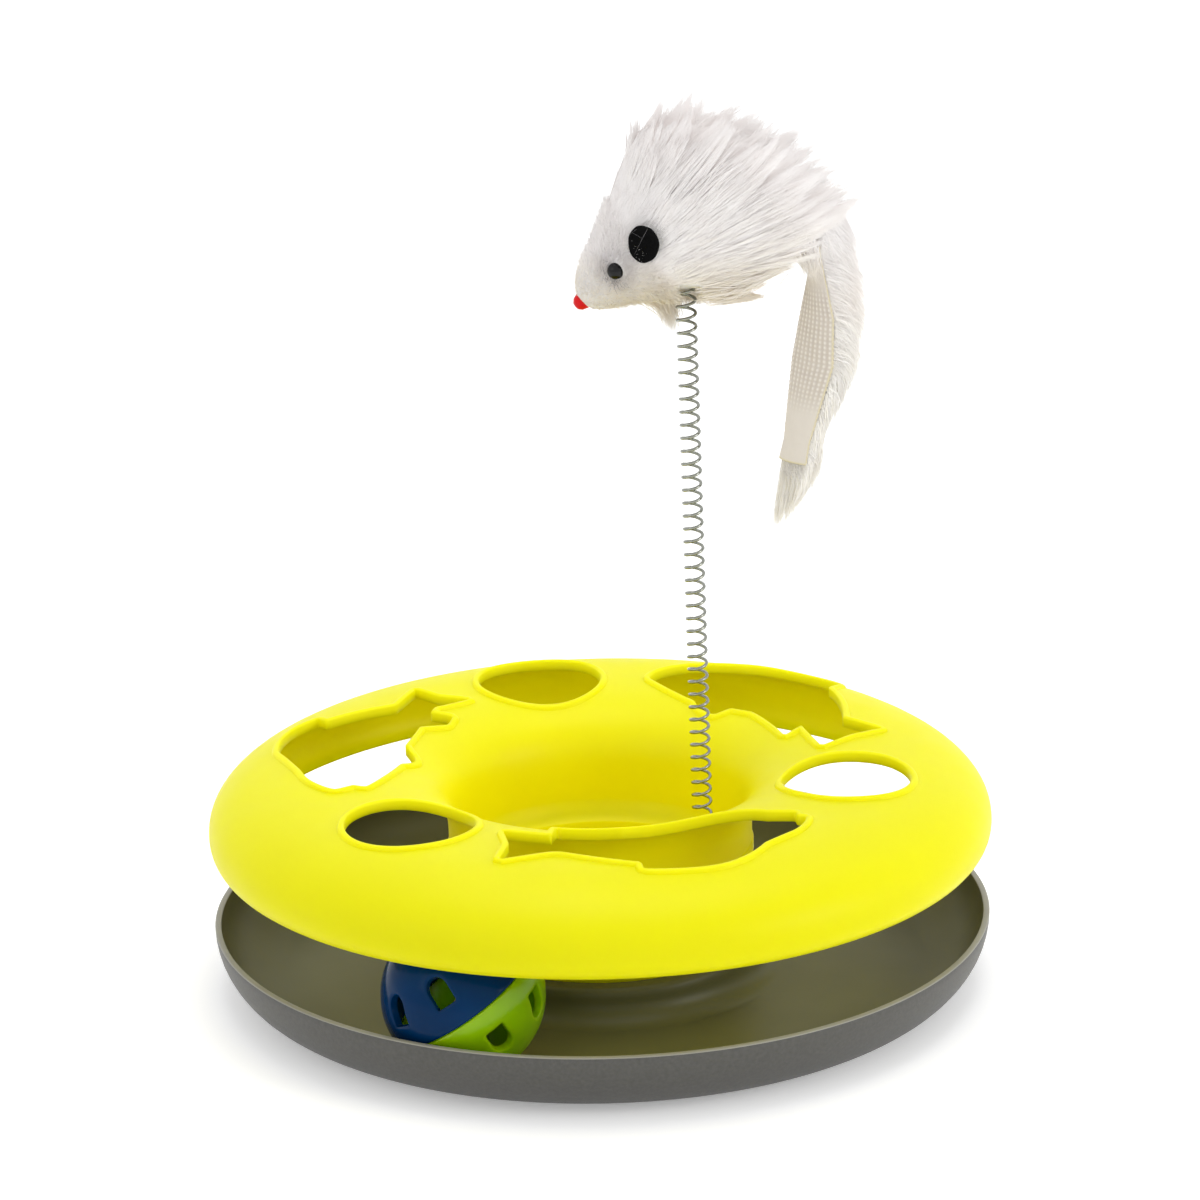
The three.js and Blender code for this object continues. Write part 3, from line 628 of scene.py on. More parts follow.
def at_height(r, z):
    return math.sqrt(r * r - z * z), z


def seam_profile(lipped):
    """From the outside round the seam to the inside, with a lip or with the recess for it."""
    rim = ((0, 1.6), (0, 0.9), (0.03, 0.5), (0.16, 0.25), (0.4, 0.15))
    seam = [at_height(BALL_R - sunk, z) for sunk, z in rim]
    if lipped:
        lip = [(22.8, 0.15), (22.8, -1.2), (22.6, -1.4), (21.8, -1.4), (21.6, -1.2), (21.6, 0.2)]
        return seam + lip + [at_height(BALL_INNER_R, 1.2)]
    return seam + [(23.15, 0.15), (23.15, 1.7), (22.2, 1.7), at_height(BALL_INNER_R, 1.75)]


def leaning(points, lean):
    """Points turned about the Y axis."""
    c, s = math.cos(lean), math.sin(lean)
    return points @ [[c, 0, -s], [0, 1, 0], [s, 0, c]]


def ball_half(name, mat, lipped):
    edge = math.acos(SHEET_EDGE_Z / BALL_R) * BALL_R
    outlines = [window_outline(math.radians(360 / WINDOWS * i - 90)) for i in range(WINDOWS)]
    radii = np.arange(SHEET_STEP, edge - 0.6, SHEET_STEP)
    fill = np.vstack([np.zeros((1, 2))] + [circle(r, max(6, int(TAU * r / SHEET_STEP))) for r in radii])
    flat, triangles, edges, holes = pierced_sheet([circle(edge, BALL_SIDES)], outlines, WINDOW_ROWS, fill)
    gap = distance_to_any(flat, outlines)
    pole = np.linalg.norm(flat, axis=1) / BALL_R
    around = np.arctan2(flat[:, 1], flat[:, 0])
    away = np.stack([np.sin(pole) * np.cos(around), np.sin(pole) * np.sin(around), np.cos(pole)], 1)
    eased = WINDOW_EASE * np.clip(1 - gap / WINDOW_EASE_WIDE, 0, 1) ** 2
    shell = Shell()
    outside = shell.add(away * (BALL_R - eased)[:, None])
    within = shell.add(away * BALL_INNER_R)
    two_skins(shell, outside, within, triangles, holes)
    last = shell.sweep([outside[i] for i in edges[0]], seam_profile(lipped), BALL_SIDES)
    shell.join(last, [within[i] for i in edges[0]])
    points = np.array(shell.verts)
    if lipped:
        turn = math.radians(-GREEN_TURN)
        c, s = math.cos(turn), math.sin(turn)
        points = points @ [[c, s, 0], [-s, c, 0], [0, 0, 1]] * [1, -1, -1]
    placed = leaning(points, math.radians(-BALL_LEAN)) + BALL_PLACE
    return made(name, placed, shell.faces, mat, sharp=36)


def make_ball():
    for colour, mat, lipped in (("blue", blue, False), ("green", green, True)):
        half = ball_half(f"ball_shell_{colour}", mat, lipped)
        belongs(half, "ball", f"ball_{colour}", f"ball_{colour}_half")


# Bell, with its profile as radius and height
BELL_PLACE = BALL_PLACE + [0, 0, -14.8]
BELL_R, BELL_INNER_R, BELL_GAP = 6.5, 5.9, 0.15
BELL_FLANGE = [(6.55, 0.8), (7.15, 0.75), (7.3, 0.55), (7.3, 0.3), (7.15, 0.15), (5.9, 0.15)]
SLOT_HALF, SLOT_END_R, SLOT_END_TURN, SLOT_NARROW = 5.2, 1.2, 0.52, 0.77
SLOT_LOW, SLOT_HIGH = -9, -4.1
PELLET_R, PELLET_DROP = 2.4, 3.2
BELL_SHARP = 35


def cut_by(piece, cutter):
    modifier = piece.modifiers.new("slot", "BOOLEAN")
    modifier.operation = "DIFFERENCE"
    modifier.solver = "EXACT"
    modifier.object = cutter
    bpy.context.view_layer.update()
    result = bpy.data.meshes.new_from_object(piece.evaluated_get(bpy.context.evaluated_depsgraph_get()))
    piece.modifiers.clear()
    piece.data = result
    bpy.data.objects.remove(cutter)
    result.polygons.foreach_set("use_smooth", [True] * len(result.polygons))
    result.set_sharp_from_angle(angle=math.radians(BELL_SHARP))


def slot_cutter():
    """A bar with round ends, which cuts the bell's slot."""
    turn = np.linspace(SLOT_END_TURN, TAU - SLOT_END_TURN, 16)
    outline = [(-SLOT_HALF + SLOT_END_R * math.cos(t), SLOT_END_R * math.sin(t)) for t in turn]
    outline += [(-x, -y) for x, y in outline]
    cutter = tube([[(x, y, z) for x, y in outline] for z in (SLOT_LOW, SLOT_HIGH)])
    points = np.array(cutter.verts) * [SLOT_NARROW, 1, 1] + BELL_PLACE
    return made("slot_cutter", points, cutter.faces, nickel)


def bell_arc(radius):
    turn = np.linspace(0.1, np.pi / 2, 12)[:-1]
    return [(radius * math.cos(t), BELL_GAP + (radius - BELL_GAP) * math.sin(t)) for t in turn]


def make_bell():
    outer, inner = bell_arc(BELL_R), bell_arc(BELL_INNER_R)
    dome = lathe([(0, BELL_R), *outer[::-1], *BELL_FLANGE, *inner, (0, BELL_INNER_R)], 48)
    for label, sign in (("upper", 1), ("lower", -1)):
        points = np.array(dome.verts) * [1, sign, sign] + BELL_PLACE
        cup = made(f"bell_dome_{label}", points, dome.faces, nickel, sharp=BELL_SHARP)
        if sign < 0:
            cut_by(cup, slot_cutter())
        belongs(cup, "bell", "bell_nickel", f"bell_{label}_cup")
    ball = lathe(ball_profile(PELLET_R, 17), 32)
    points = np.array(ball.verts) + BELL_PLACE + [0, 0, -PELLET_DROP]
    belongs(made("bell_ball", points, ball.faces, steel), "pellet", "spring_steel", "bell_pellet")


# Spring
SPRING_FOOT = np.array([SPRING_X, 0, 21.8])
SPRING_LEAN = math.radians(-0.83)
SPRING_TOP, SPRING_TURNS, SPRING_R, WIRE = 198.7, 49, 2.72, 0.98
SPRING_MIDDLE, SPRING_LAP = 95.0, 0.2
WIRE_STEPS, WIRE_SIDES = 24, 8
LOWER_BEND, UPPER_BEND = (2, SPRING_MIDDLE - 3), (SPRING_MIDDLE + 5, 188)


def on_spring(points):
    """Points of the spring's own frame, placed in the toy's."""
    return leaning(np.asarray(points, float), SPRING_LEAN) + SPRING_FOOT


def coil(first, last):
    """The part of the spring's wire between two heights."""
    rise = SPRING_TOP - 2 * WIRE
    turn = TAU * np.arange(SPRING_TURNS * WIRE_STEPS + 1) / WIRE_STEPS
    height = WIRE + rise * turn / (TAU * SPRING_TURNS)
    line = np.stack([SPRING_R * np.cos(turn), SPRING_R * np.sin(turn), height], 1)
    line = np.vstack([line[[0]] * [1, 1, 0], line, line[[-1]] * [1, 1, 0] + [0, 0, SPRING_TOP]])
    line = line[(line[:, 2] >= first) & (line[:, 2] <= last)]
    ahead = np.gradient(line, axis=0)
    ahead /= np.linalg.norm(ahead, axis=1)[:, None]
    out = line * [1, 1, 0]
    out /= np.linalg.norm(out, axis=1)[:, None]
    out -= (out * ahead).sum(1)[:, None] * ahead
    side = np.cross(ahead, out)
    section = circle(1, WIRE_SIDES)
    rings = [section[:, [0]] * out[i] + section[:, [1]] * side[i] for i in range(len(line))]
    shell = tube([line[i] + WIRE / 2 * ring for i, ring in enumerate(rings)])
    return on_spring(shell.verts), shell.faces


def make_spring():
    lower = made("spring_lower", *coil(0, SPRING_MIDDLE), steel)
    upper = made("spring_upper", *coil(SPRING_MIDDLE - SPRING_LAP, SPRING_TOP), steel)
    bends = ((lower, "lid", "spring", LOWER_BEND), (upper, "spring", "mouse", UPPER_BEND))
    for piece, low, high, ends in bends:
        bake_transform(piece)
        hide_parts("spring")


# Mouse: a cone of fur that fans out from the nose
FAN = np.array([-6.0, 0, 207.0])
FAN_TILT = math.radians(40)
ALONG = np.array([math.cos(FAN_TILT), 0, math.sin(FAN_TILT)])
UP = np.array([-math.sin(FAN_TILT), 0, math.cos(FAN_TILT)])
SIDE = np.array([0, 1.0, 0])
# The skin's half height, half width and rise at places along the fan
SKIN_S = [6.2, 6.6, 7.4, 8.4, 10, 14, 18.6, 24, 30, 36, 44, 52, 60, 66, 70, 72.5]
SKIN_H = [0.1, 2.5, 3.8, 4.9, 6.2, 8.7, 10.8, 14, 18, 21.6, 24.9, 26.5, 25, 21, 14.5, 0.1]
SKIN_W = [0.1, 2.3, 3.5, 4.6, 6, 8.4, 10.6, 13.3, 15.6, 17.4, 19, 19.5, 18, 14, 9, 0.1]
SKIN_N = [1.2, 1.1, 1.2, 1.3, 1.4, 1.5, 1.1, 0.4, -0.8, -1.2, -0.5, -1, -3.5, -6, -7.5, -8]
SKIN_RINGS, SKIN_SIDES = 64, 64
# How far the coat reaches, by its angle in the fan, and the angles of its tufts
COAT_TURN = [-37, -34, -30, -25, -21, -18.8, -14.8, -9.5, -3.7, 2.3, 11, 18.2, 24.6, 30, 33]
COAT_REACH = [50, 53, 56, 67, 85, 91, 90, 86, 85, 83, 77.5, 73.5, 67, 60, 56]
TUFTS = np.array([33.9, 25.9, 20.3, 12.3, 3.4, -2.4, -8.8, -13.6, -17.8])
TUFT_WIDE, TUFT_POINT, TUFT_RISE, TUFT_DIP, TUFT_PULL = 5, 2.4, 2.6, 0.9, 0.5
SPRING_AT, SPRING_CLEAR, PARTING_RISE = np.array([28.7, 0, 214.8]), 3.4, 0.32
EYES = [np.array([8.4, y, 223.6]) for y in (-10.9, 10.9)]
EARS = [np.array([16.9, y, 233.2]) for y in (-17.2, 17.2)]
NOSE = np.array([-1.5, 0, 212.1])


def unit(vectors):
    return vectors / (np.linalg.norm(vectors, axis=-1)[..., None] + TINY)


def fan_point(s, up, side):
    return FAN + s[..., None] * ALONG + up[..., None] * UP + side[..., None] * SIDE


def skin(s, turn):
    """A point of the mouse's skin: s along the fan from the nose, turn round it from the top."""
    h, w, n = (np.interp(s, SKIN_S, v) for v in (SKIN_H, SKIN_W, SKIN_N))
    return fan_point(s, n + h * np.cos(turn), w * np.sin(turn))


def skin_normal(s, turn):
    e = 0.05
    a = skin(s + e, turn) - skin(s - e, turn)
    b = skin(s, turn + e) - skin(s, turn - e)
    normal = unit(np.cross(a, b))
    away = skin(s, turn) - fan_point(s * 0.8, np.zeros_like(s), np.zeros_like(s))
    return normal * np.sign((normal * away).sum(-1) + TINY)[..., None]


def skin_samples(count, low, high):
    """Places spread evenly over the skin between two distances along the fan."""
    s = rng.uniform(low, high, count * 4)
    steep = np.interp(s, SKIN_S, np.abs(np.gradient(SKIN_H, SKIN_S)))
    size = np.interp(s, SKIN_S, SKIN_H) + np.interp(s, SKIN_S, SKIN_W)
    weight = size * np.hypot(1, np.minimum(steep, 3))
    keep = rng.uniform(0, weight.max(), count * 4) < weight
    s = s[keep][:count]
    return s, rng.uniform(-np.pi, np.pi, len(s))


def coat_reach(points):
    """How far from the nose the fur reaches in the direction of each point."""
    along, up = (points - FAN) @ ALONG, (points - FAN) @ UP
    return np.interp(np.degrees(np.arctan2(up, along)), COAT_TURN, COAT_REACH)


def tufted(points):
    """Points near the coat's outline drawn together into tufts, which reach out further."""
    offset = points - FAN
    along, up, side = offset @ ALONG, offset @ UP, offset @ SIDE
    turn, out = np.degrees(np.arctan2(up, along)), np.hypot(along, up)
    gaps = TUFTS - turn[:, None]
    gap = gaps[np.arange(len(points)), np.abs(gaps).argmin(1)]
    outer = smoothstep(0.85, 0.98, out / coat_reach(points)) * (np.abs(gap) < TUFT_WIDE)
    drawn = np.radians(turn + TUFT_PULL * outer * gap)
    far = out + outer * (TUFT_RISE * np.clip(1 - np.abs(gap) / TUFT_POINT, 0, 1) - TUFT_DIP)
    return fan_point(far * np.cos(drawn), far * np.sin(drawn), side)


def parting_height(points):
    """Height of the parting where the spring goes in, rising towards the near side."""
    return SPRING_AT[2] + PARTING_RISE * np.maximum(0, -points[:, 1])


def parted(points):
    """The skin drawn up where the spring goes in."""
    at_spring = smoothstep(7, 3, np.abs(points[:, 0] - SPRING_AT[0])) * smoothstep(7, 1, points[:, 1])
    lifted = points.copy()
    lifted[:, 2] += at_spring * np.maximum(0, parting_height(points) - points[:, 2])
    return lifted


def hides_spring(points):
    """Whether points lie in front of the top of the spring."""
    near = np.abs(points[:, 0] - SPRING_AT[0]) < SPRING_CLEAR
    return near & (points[:, 1] < 4) & (points[:, 2] < parting_height(points) + 0.3)


def on_ridge(s, turn, normals):
    """Normals turned level along the back and the rear, so that a lock is lit alike from both sides."""
    ridge = np.maximum(smoothstep(-0.2, 0.4, np.cos(turn)), smoothstep(48, 58, s))[:, None]
    aside = np.sign(np.sin(turn))[:, None] * SIDE
    level = unit(normals * [0.3, 1, 0.05] + 0.4 * aside)
    return unit(normals * (1 - ridge) + level * ridge)


def clumped(points, number):
    """For each point, the index of the nearest of some points drawn as centres of clumps."""
    centres = rng.choice(len(points), number, replace=False)
    best = np.empty(len(points), int)
    for first in range(0, len(points), AT_ONCE):
        part = points[first:first + AT_ONCE, None, :]
        best[first:first + AT_ONCE] = ((part - points[centres]) ** 2).sum(2).argmin(1)
    return centres[best]


def stray(points):
    """A random offset for each point."""
    return rng.normal(size=points.shape)


def gap_to(points, places):
    return np.min([np.linalg.norm(points - place, axis=1) for place in places], axis=0)


def strands(name, roots, middles, tips, normals, width, mat, segments, clumps=None, pull=0.0):
    """Tapering ribbons of fur along curves, lying flat on the coat; each leans towards its clump's tip."""
    count = len(roots)
    t = np.linspace(0, 1, segments + 1)[None, :, None]
    line = roots[:, None] * (1 - t) ** 2 + 2 * middles[:, None] * t * (1 - t) + tips[:, None] * t ** 2
    if clumps is not None:
        pulled = (pull * rng.uniform(0.6, 1.15, count))[:, None, None] * t ** 2
        line = line * (1 - pulled) + line[clumps] * pulled
    ahead = unit(line[:, -1] - line[:, 0])
    flat = unit(np.cross(ahead, normals))
    lift = unit(np.cross(flat, ahead))
    twist = rng.normal(0, 0.4, count)[:, None]
    across = np.cos(twist) * flat + np.sin(twist) * lift
    taper = (1 - 0.9 * t ** 1.6) * np.minimum(1, 0.5 + 1.5 * t)
    half = (width * rng.uniform(0.7, 1.2, count))[:, None, None] / 2 * taper
    verts = np.stack([line - across[:, None] * half, line + across[:, None] * half], 2).reshape(-1, 3)
    per = 2 * (segments + 1)
    a = ((np.arange(count) * per)[:, None] + 2 * np.arange(segments)).reshape(-1)
    faces = np.stack([a, a + 1, a + 3, a + 2], 1)
    shade = unit(normals + 0.2 * np.cross(across, ahead))
    piece = made(name, verts, faces, mat, closed=False)
    piece.data.normals_split_custom_set_from_vertices(np.repeat(shade, per, axis=0).tolist())
    return piece


def make_mouse_skin():
    s = np.interp(np.linspace(0, 1, SKIN_RINGS), np.linspace(0, 1, len(SKIN_S)), SKIN_S)
    turn = TAU * np.arange(SKIN_SIDES) / SKIN_SIDES
    shell = tube([parted(skin(np.full(SKIN_SIDES, value), turn)) for value in s])
    base = made("mouse_skin", shell.verts, shell.faces, fur_base)
    belongs(base, "mouse", "fur_white", "mouse_body", "mouse_head", "mouse_core")


COAT_STRANDS, COAT_CLUMPS, COAT_WIDE = 42500, 420, 0.24
COAT_FROM, COAT_FULL, COAT_TO = 16, 46, 72.3
SHORT_S, SHORT_LENGTH = [16, 24, 31, 38, 46], [1.5, 3.2, 6, 10, 14]
COAT_EAR_GAP, COAT_EYE_GAP = 4.6, 4.2


def coat_lengths(s, roots, share):
    """Lengths of the coat's strands: short towards the face, and up to the coat's outline elsewhere."""
    gone = np.linalg.norm((roots - FAN) * [1, 0, 1], axis=1)
    full = np.clip(coat_reach(roots) * share - gone, 4, 28)
    short = np.interp(s, SHORT_S, SHORT_LENGTH) * share
    return np.where(s < COAT_FULL, np.minimum(short, full + 2), full)


def coat_part(name, keep, curves, clumps, pull):
    """A piece of the kept strands; a strand whose clump's centre isn't kept stands for itself."""
    place = np.full(len(clumps), -1)
    place[keep] = np.arange(len(keep))
    own = place[clumps[keep]]
    own = np.where(own >= 0, own, np.arange(len(keep)))
    return strands(name, *(points[keep] for points in curves), COAT_WIDE, fur, 3, own, pull[keep])


def body_fur():
    """The coat, in a piece for each side of the mouse, so that no clump is torn apart."""
    s, turn = skin_samples(COAT_STRANDS, COAT_FROM, COAT_TO)
    count = len(s)
    roots = skin(s, turn)
    normals = on_ridge(s, turn, skin_normal(s, turn))
    clumps = clumped(roots, COAT_CLUMPS)
    share = rng.uniform(0.86, 1.01, count) * rng.uniform(0.94, 1.05, count)[clumps]
    lengths = coat_lengths(s, roots, share)
    sway = (0.05 + 0.12 * smoothstep(62, 70, s))[:, None] * stray(roots)
    along = unit(unit((roots - FAN) * [1, 0.45, 1]) + sway[clumps])
    tips = tufted(roots + (along + 0.045 * stray(roots)) * lengths[:, None])
    middles = roots + along * (lengths * 0.5)[:, None] + normals * (lengths * 0.1)[:, None]
    hiding = hides_spring(roots) | hides_spring(middles) | hides_spring(tips)
    shown = (gap_to(roots, EARS) > COAT_EAR_GAP) & (gap_to(roots, EYES) > COAT_EYE_GAP) & ~hiding
    pull = 0.4 + 0.12 * smoothstep(0.1, 0.7, np.cos(turn))
    near = roots[clumps][:, 1] < 0
    curves = (roots, middles, tips, normals)
    sides = (("mouse_fur_near", near), ("mouse_fur_far", ~near))
    return [coat_part(name, np.flatnonzero(shown & side), curves, clumps, pull) for name, side in sides]


FACE_STRANDS, FACE_FROM, FACE_TO, FACE_WIDE = 15000, 6.6, 31, 0.16
FACE_S, FACE_LENGTH = [7, 12, 20, 31], [0.9, 1.6, 2.3, 3.8]
FACE_EYE_GAP, FACE_EAR_GAP, FACE_NOSE_GAP = 2.6, 4.6, 2.4


def face_fur():
    s, turn = skin_samples(FACE_STRANDS, FACE_FROM, FACE_TO)
    roots, normals = skin(s, turn), skin_normal(s, turn)
    clear = (gap_to(roots, EYES) > FACE_EYE_GAP) & (gap_to(roots, EARS) > FACE_EAR_GAP)
    keep = clear & (gap_to(roots, [NOSE]) > FACE_NOSE_GAP) & ~hides_spring(roots)
    s, turn, roots, normals = s[keep], turn[keep], roots[keep], normals[keep]
    lengths = np.interp(s, FACE_S, FACE_LENGTH) * rng.uniform(0.7, 1.2, len(s))
    ahead = unit(unit(roots - FAN) + 0.4 * normals + 0.3 * stray(roots))
    tips = roots + ahead * lengths[:, None]
    middles = (roots + tips) / 2 + normals * (0.12 * lengths)[:, None]
    uneven = unit(on_ridge(s, turn, normals) + 0.25 * stray(normals))
    return strands("face_fur", roots, middles, tips, uneven, FACE_WIDE, fur, 2)


FUZZ_STRANDS, FUZZ_WIDE, FUZZ_FROM, FUZZ_REACH = 110, 0.1, 2.5, 3.2


def eye_fuzz():
    """Dark fibres caught round the eyes, most of them below."""
    parts = []
    for eye in EYES:
        turn = rng.normal(-2.0, 0.9, FUZZ_STRANDS)
        gap = FUZZ_FROM + FUZZ_REACH * rng.beta(1, 2, FUZZ_STRANDS)
        side = np.sign(eye[1])
        out = np.full(FUZZ_STRANDS, side * 1.2)
        roots = eye + np.stack([gap * np.cos(turn), out, gap * np.sin(turn)], 1)
        roots[:, 1] -= side * 0.12 * gap
        tips = roots + stray(roots) * [0.7, 0.3, 0.7] + [0.3, side * 0.8, -0.4]
        parts.append((roots, tips, np.tile([0, side, 0.2], (FUZZ_STRANDS, 1))))
    roots, tips, normals = (np.vstack(group) for group in zip(*parts))
    return strands("eye_fuzz", roots, (roots + tips) / 2, tips, unit(normals), FUZZ_WIDE, fur_grey, 2)


STRAIGHT, LOCK_WIDE = (0, 0, 0), 0.22
LOCKS = (
    # root, tip, spread of the roots, spread of the tips, bow of the middle, strands
    ((44, -11, 221), (60.5, -9, 223.6), (4, 2.5, 2.2), (0.8, 0.7, 0.7), STRAIGHT, 520),
    ((38, -10, 217), (52, -8, 217.6), (3.6, 2.5, 1.6), (0.8, 0.7, 0.5), STRAIGHT, 420),
    ((38, -5, 213.6), (51.5, -5, 213.2), (3.2, 2.5, 1.1), (0.9, 0.7, 0.4), STRAIGHT, 380),
    ((45, 9, 219), (60, 9, 221), (4, 2.5, 2.5), (1.2, 1.0, 1.0), STRAIGHT, 420),
    ((36, 8, 215), (50, 8, 215), (4, 2.5, 2), (1.2, 1.0, 0.8), STRAIGHT, 420),
    ((29, 6, 215.5), (31.5, 5.5, 208.4), (3.4, 1.0, 1.0), (3.4, 1.0, 0.5), STRAIGHT, 800),
    ((20.5, 4.5, 212), (24.8, 4.5, 200.6), (3.2, 1.3, 1.0), (1.2, 0.9, 1.4), (1.8, 0, 1.4), 330),
    ((62, -4, 229.5), (66.8, -5, 218), (2.2, 1.2, 1.6), (1.4, 0.8, 1.6), (0.6, 0, 0.8), 420),
)


def loose_locks():
    """Single locks below the belly, under the chin and over the root of the tail."""
    parts = []
    for root, tip, root_spread, tip_spread, bow, count in LOCKS:
        roots = root + rng.normal(size=(count, 3)) * root_spread
        tips = tip + stray(roots) * tip_spread
        tips = roots + (tips - roots) * rng.uniform(0.6, 1.0, (count, 1))
        middles = (roots + tips) / 2 + bow + stray(roots) * 0.5
        facing = 0.3 * stray(roots) + [0.1, math.copysign(0.8, root[1]), -0.1]
        parts.append((roots, middles, tips, unit(facing)))
    curves = (np.vstack(group) for group in zip(*parts))
    return strands("fur_locks", *curves, LOCK_WIDE, fur, 4)


def make_mouse_fur():
    make_mouse_skin()
    for piece in (*body_fur(), face_fur(), eye_fuzz(), loose_locks()):
        belongs(piece, "mouse", "fur_white")


EYE_R, EYE_FLAT, EYE_SHIFT, EYE_OUT = 2.5, 0.85, -0.2, 0.7


def make_eye(label, side, eye):
    ball = lathe(ball_profile(EYE_R, 21), 40)
    placed = np.array(ball.verts) * [1, EYE_FLAT, 1] + eye + [EYE_SHIFT, side * EYE_OUT, 0]
    bead = made(f"eye_bead_{label}", placed, ball.faces, bead_black)
    belongs(bead, "mouse", "eye_black", f"mouse_eye_{label}")


EAR_WIDE, EAR_LONG, EAR_OUT, EAR_SIDES = 4.75, 5.7, 0.9, 56
# The felt's section as shares of its half size and heights, from its face to its back
EAR_SECTION = (
    (0.2, 0.35), (0.5, 0.45), (0.8, 0.75), (0.95, 1.0), (1.0, 0.75), (0.99, 0.3), (0.94, 0.05), (0.5, -0.1),
    (0.2, -0.1))
EAR_STRANDS, EAR_FUZZ_WIDE, EAR_FUZZ_OUT, EAR_FUZZ_HALF = 900, 0.09, 1.15, (4.7, 5.6)
# Three fibres caught on the felt, from and to places across and along it
LINT = np.array([(-1.2, 5.2, 2.6, -3.8), (0.4, 1.8, 4.2, 3.2), (2.2, 4.4, 4.3, 2.0)])
LINT_OUT, LINT_WIDE = 1.9, 0.07


def ear_axes(side):
    """The directions across an ear, along it and out of it."""
    out = unit(np.array([-0.36, side * 0.9, -0.1]))
    along = np.array([0.12, 0, 1.0])
    along = unit(along - along.dot(out) * out)
    return np.cross(out, along), along, out


def on_felt(axes, across, along):
    return across[:, None] * axes[0] + along[:, None] * axes[1]


def ear_patch(label, side, ear, axes):
    """The felt, a little uneven round its edge."""
    around = TAU * np.arange(EAR_SIDES) / EAR_SIDES
    wobble = 1 + 0.02 * np.sin(3 * around + side) + 0.012 * np.sin(7 * around)
    rings = []
    for share, lift in EAR_SECTION:
        size = share * wobble
        points = on_felt(axes, EAR_WIDE * size * np.cos(around), EAR_LONG * size * np.sin(around))
        rings.append(points + ear + axes[2] * (lift + EAR_OUT))
    shell = tube(rings)
    return made(f"ear_felt_{label}", shell.verts, shell.faces, felt)


def ear_fuzz(label, ear, axes):
    """Short fibres that stand up from the felt."""
    out = axes[2]
    around = rng.uniform(0, TAU, EAR_STRANDS)
    share = np.sqrt(rng.uniform(0, 1, EAR_STRANDS))
    wide, long = EAR_FUZZ_HALF
    roots = on_felt(axes, wide * share * np.cos(around), long * share * np.sin(around))
    roots = roots + ear + out * (EAR_FUZZ_OUT + 0.45 * share[:, None])
    ahead = unit(0.5 * out + stray(roots) * 0.6)
    tips = roots + ahead * rng.uniform(0.5, 1.0, (EAR_STRANDS, 1))
    facing = np.tile(out, (EAR_STRANDS, 1))
    return strands(f"ear_fuzz_{label}", roots, (roots + tips) / 2, tips, facing, EAR_FUZZ_WIDE, felt, 2)


def ear_lint(label, ear, axes):
    first, last = (on_felt(axes, *ends.T) + ear + axes[2] * LINT_OUT for ends in (LINT[:, :2], LINT[:, 2:]))
    middle = (first + last) / 2 + 0.3 * axes[1]
    facing = np.tile(axes[2], (len(LINT), 1))
    return strands(f"ear_lint_{label}", first, middle, last, facing, LINT_WIDE, fur_grey, 6)


def make_ear(label, side, ear):
    axes = ear_axes(side)
    patch = ear_patch(label, side, ear, axes)
    fuzz = ear_fuzz(label, ear, axes)
    lint = ear_lint(label, ear, axes)
    belongs(patch, "mouse", "felt_black", f"mouse_ear_{label}")
    belongs(fuzz, "mouse", "felt_black")
    belongs(lint, "mouse", "felt_black")


NOSE_PROFILE = [(0, -3.0), (1.2, -2.8), (2.2, -1.8), (2.7, -0.2), (2.5, 1.0), (1.7, 2.0), (0, 2.5)]


def make_mouse_face():
    for label, side, eye, ear in (("left", -1, EYES[0], EARS[0]), ("right", 1, EYES[1], EARS[1])):
        make_eye(label, side, eye)
        make_ear(label, side, ear)
    tip = lathe(NOSE_PROFILE, 32)
    points = np.array(tip.verts)
    placed = NOSE + points[:, [0]] * SIDE + points[:, [1]] * UP + points[:, [2]] * ALONG
    belongs(made("nose_tip", placed, tip.faces, red), "mouse", "nose_red", "mouse_nose")


# Tail: a strip of fur fabric with its knitted back turned to the front
STRIP_Z = [144, 150, 161.6, 168, 180, 192, 206, 218, 226, 232]
STRIP_X = [54.4, 57.2, 59.4, 60.7, 63.1, 65.6, 67.0, 67.0, 67.0, 68.0]
STRIP_HALF = [2.0, 4.0, 5.7, 5.4, 7.0, 8.6, 7.0, 3.6, 1.6, 1.0]
STRIP_BACK, STRIP_WIDE = np.array([-0.75, -0.66, 0]), np.array([0.66, -0.75, 0])
STRIP_Y, STRIP_CURL, STRIP_THICK = -1.0, 1.2, 0.7
BACKING_TOP, BACKING_END, BACKING_ROWS, BACKING_COLUMNS = 227, 161.6, 230, 73
RIBS, STITCH_LONG, STITCH_RISE, CLOTH_THICK = 9, 1.4, 0.26, 0.0006
# The pile's outer edge, by height
PILE_Z = [144, 150, 154, 160, 169.5, 176, 182.7, 190, 202.3, 211, 227.5, 236]
PILE_X = [58, 62.9, 65.2, 67.5, 69.3, 73.6, 79, 80.9, 83.3, 83.3, 79.3, 76.5]
PILE_STRANDS, PILE_CLUMPS, PILE_WIDE, PILE_END = 16000, 260, 0.26, 146
# The line on which the brush below the backing ends, from left to right
TIP_SHARE = [0, 0.25, 0.5, 0.75, 1]
TIP_X = [53.8, 57, 60.5, 64, 67.2]
TIP_Z = [140.8, 143, 146.6, 152, 158]
TIP_STRANDS, TIP_CLUMPS, TIP_WIDE = 3600, 60, 0.24


def strip_half(z):
    return np.interp(z, STRIP_Z, STRIP_HALF)


def strip_point(z, across):
    """A point of the tail's backing: a height, and a share of the half width from -1 to 1."""
    x = np.interp(z, STRIP_Z, STRIP_X)
    centre = np.stack([x, np.full_like(x, STRIP_Y), z], -1)
    curl = STRIP_CURL * (1 - across ** 2)
    return centre + (strip_half(z) * across)[..., None] * STRIP_WIDE + curl[..., None] * STRIP_BACK


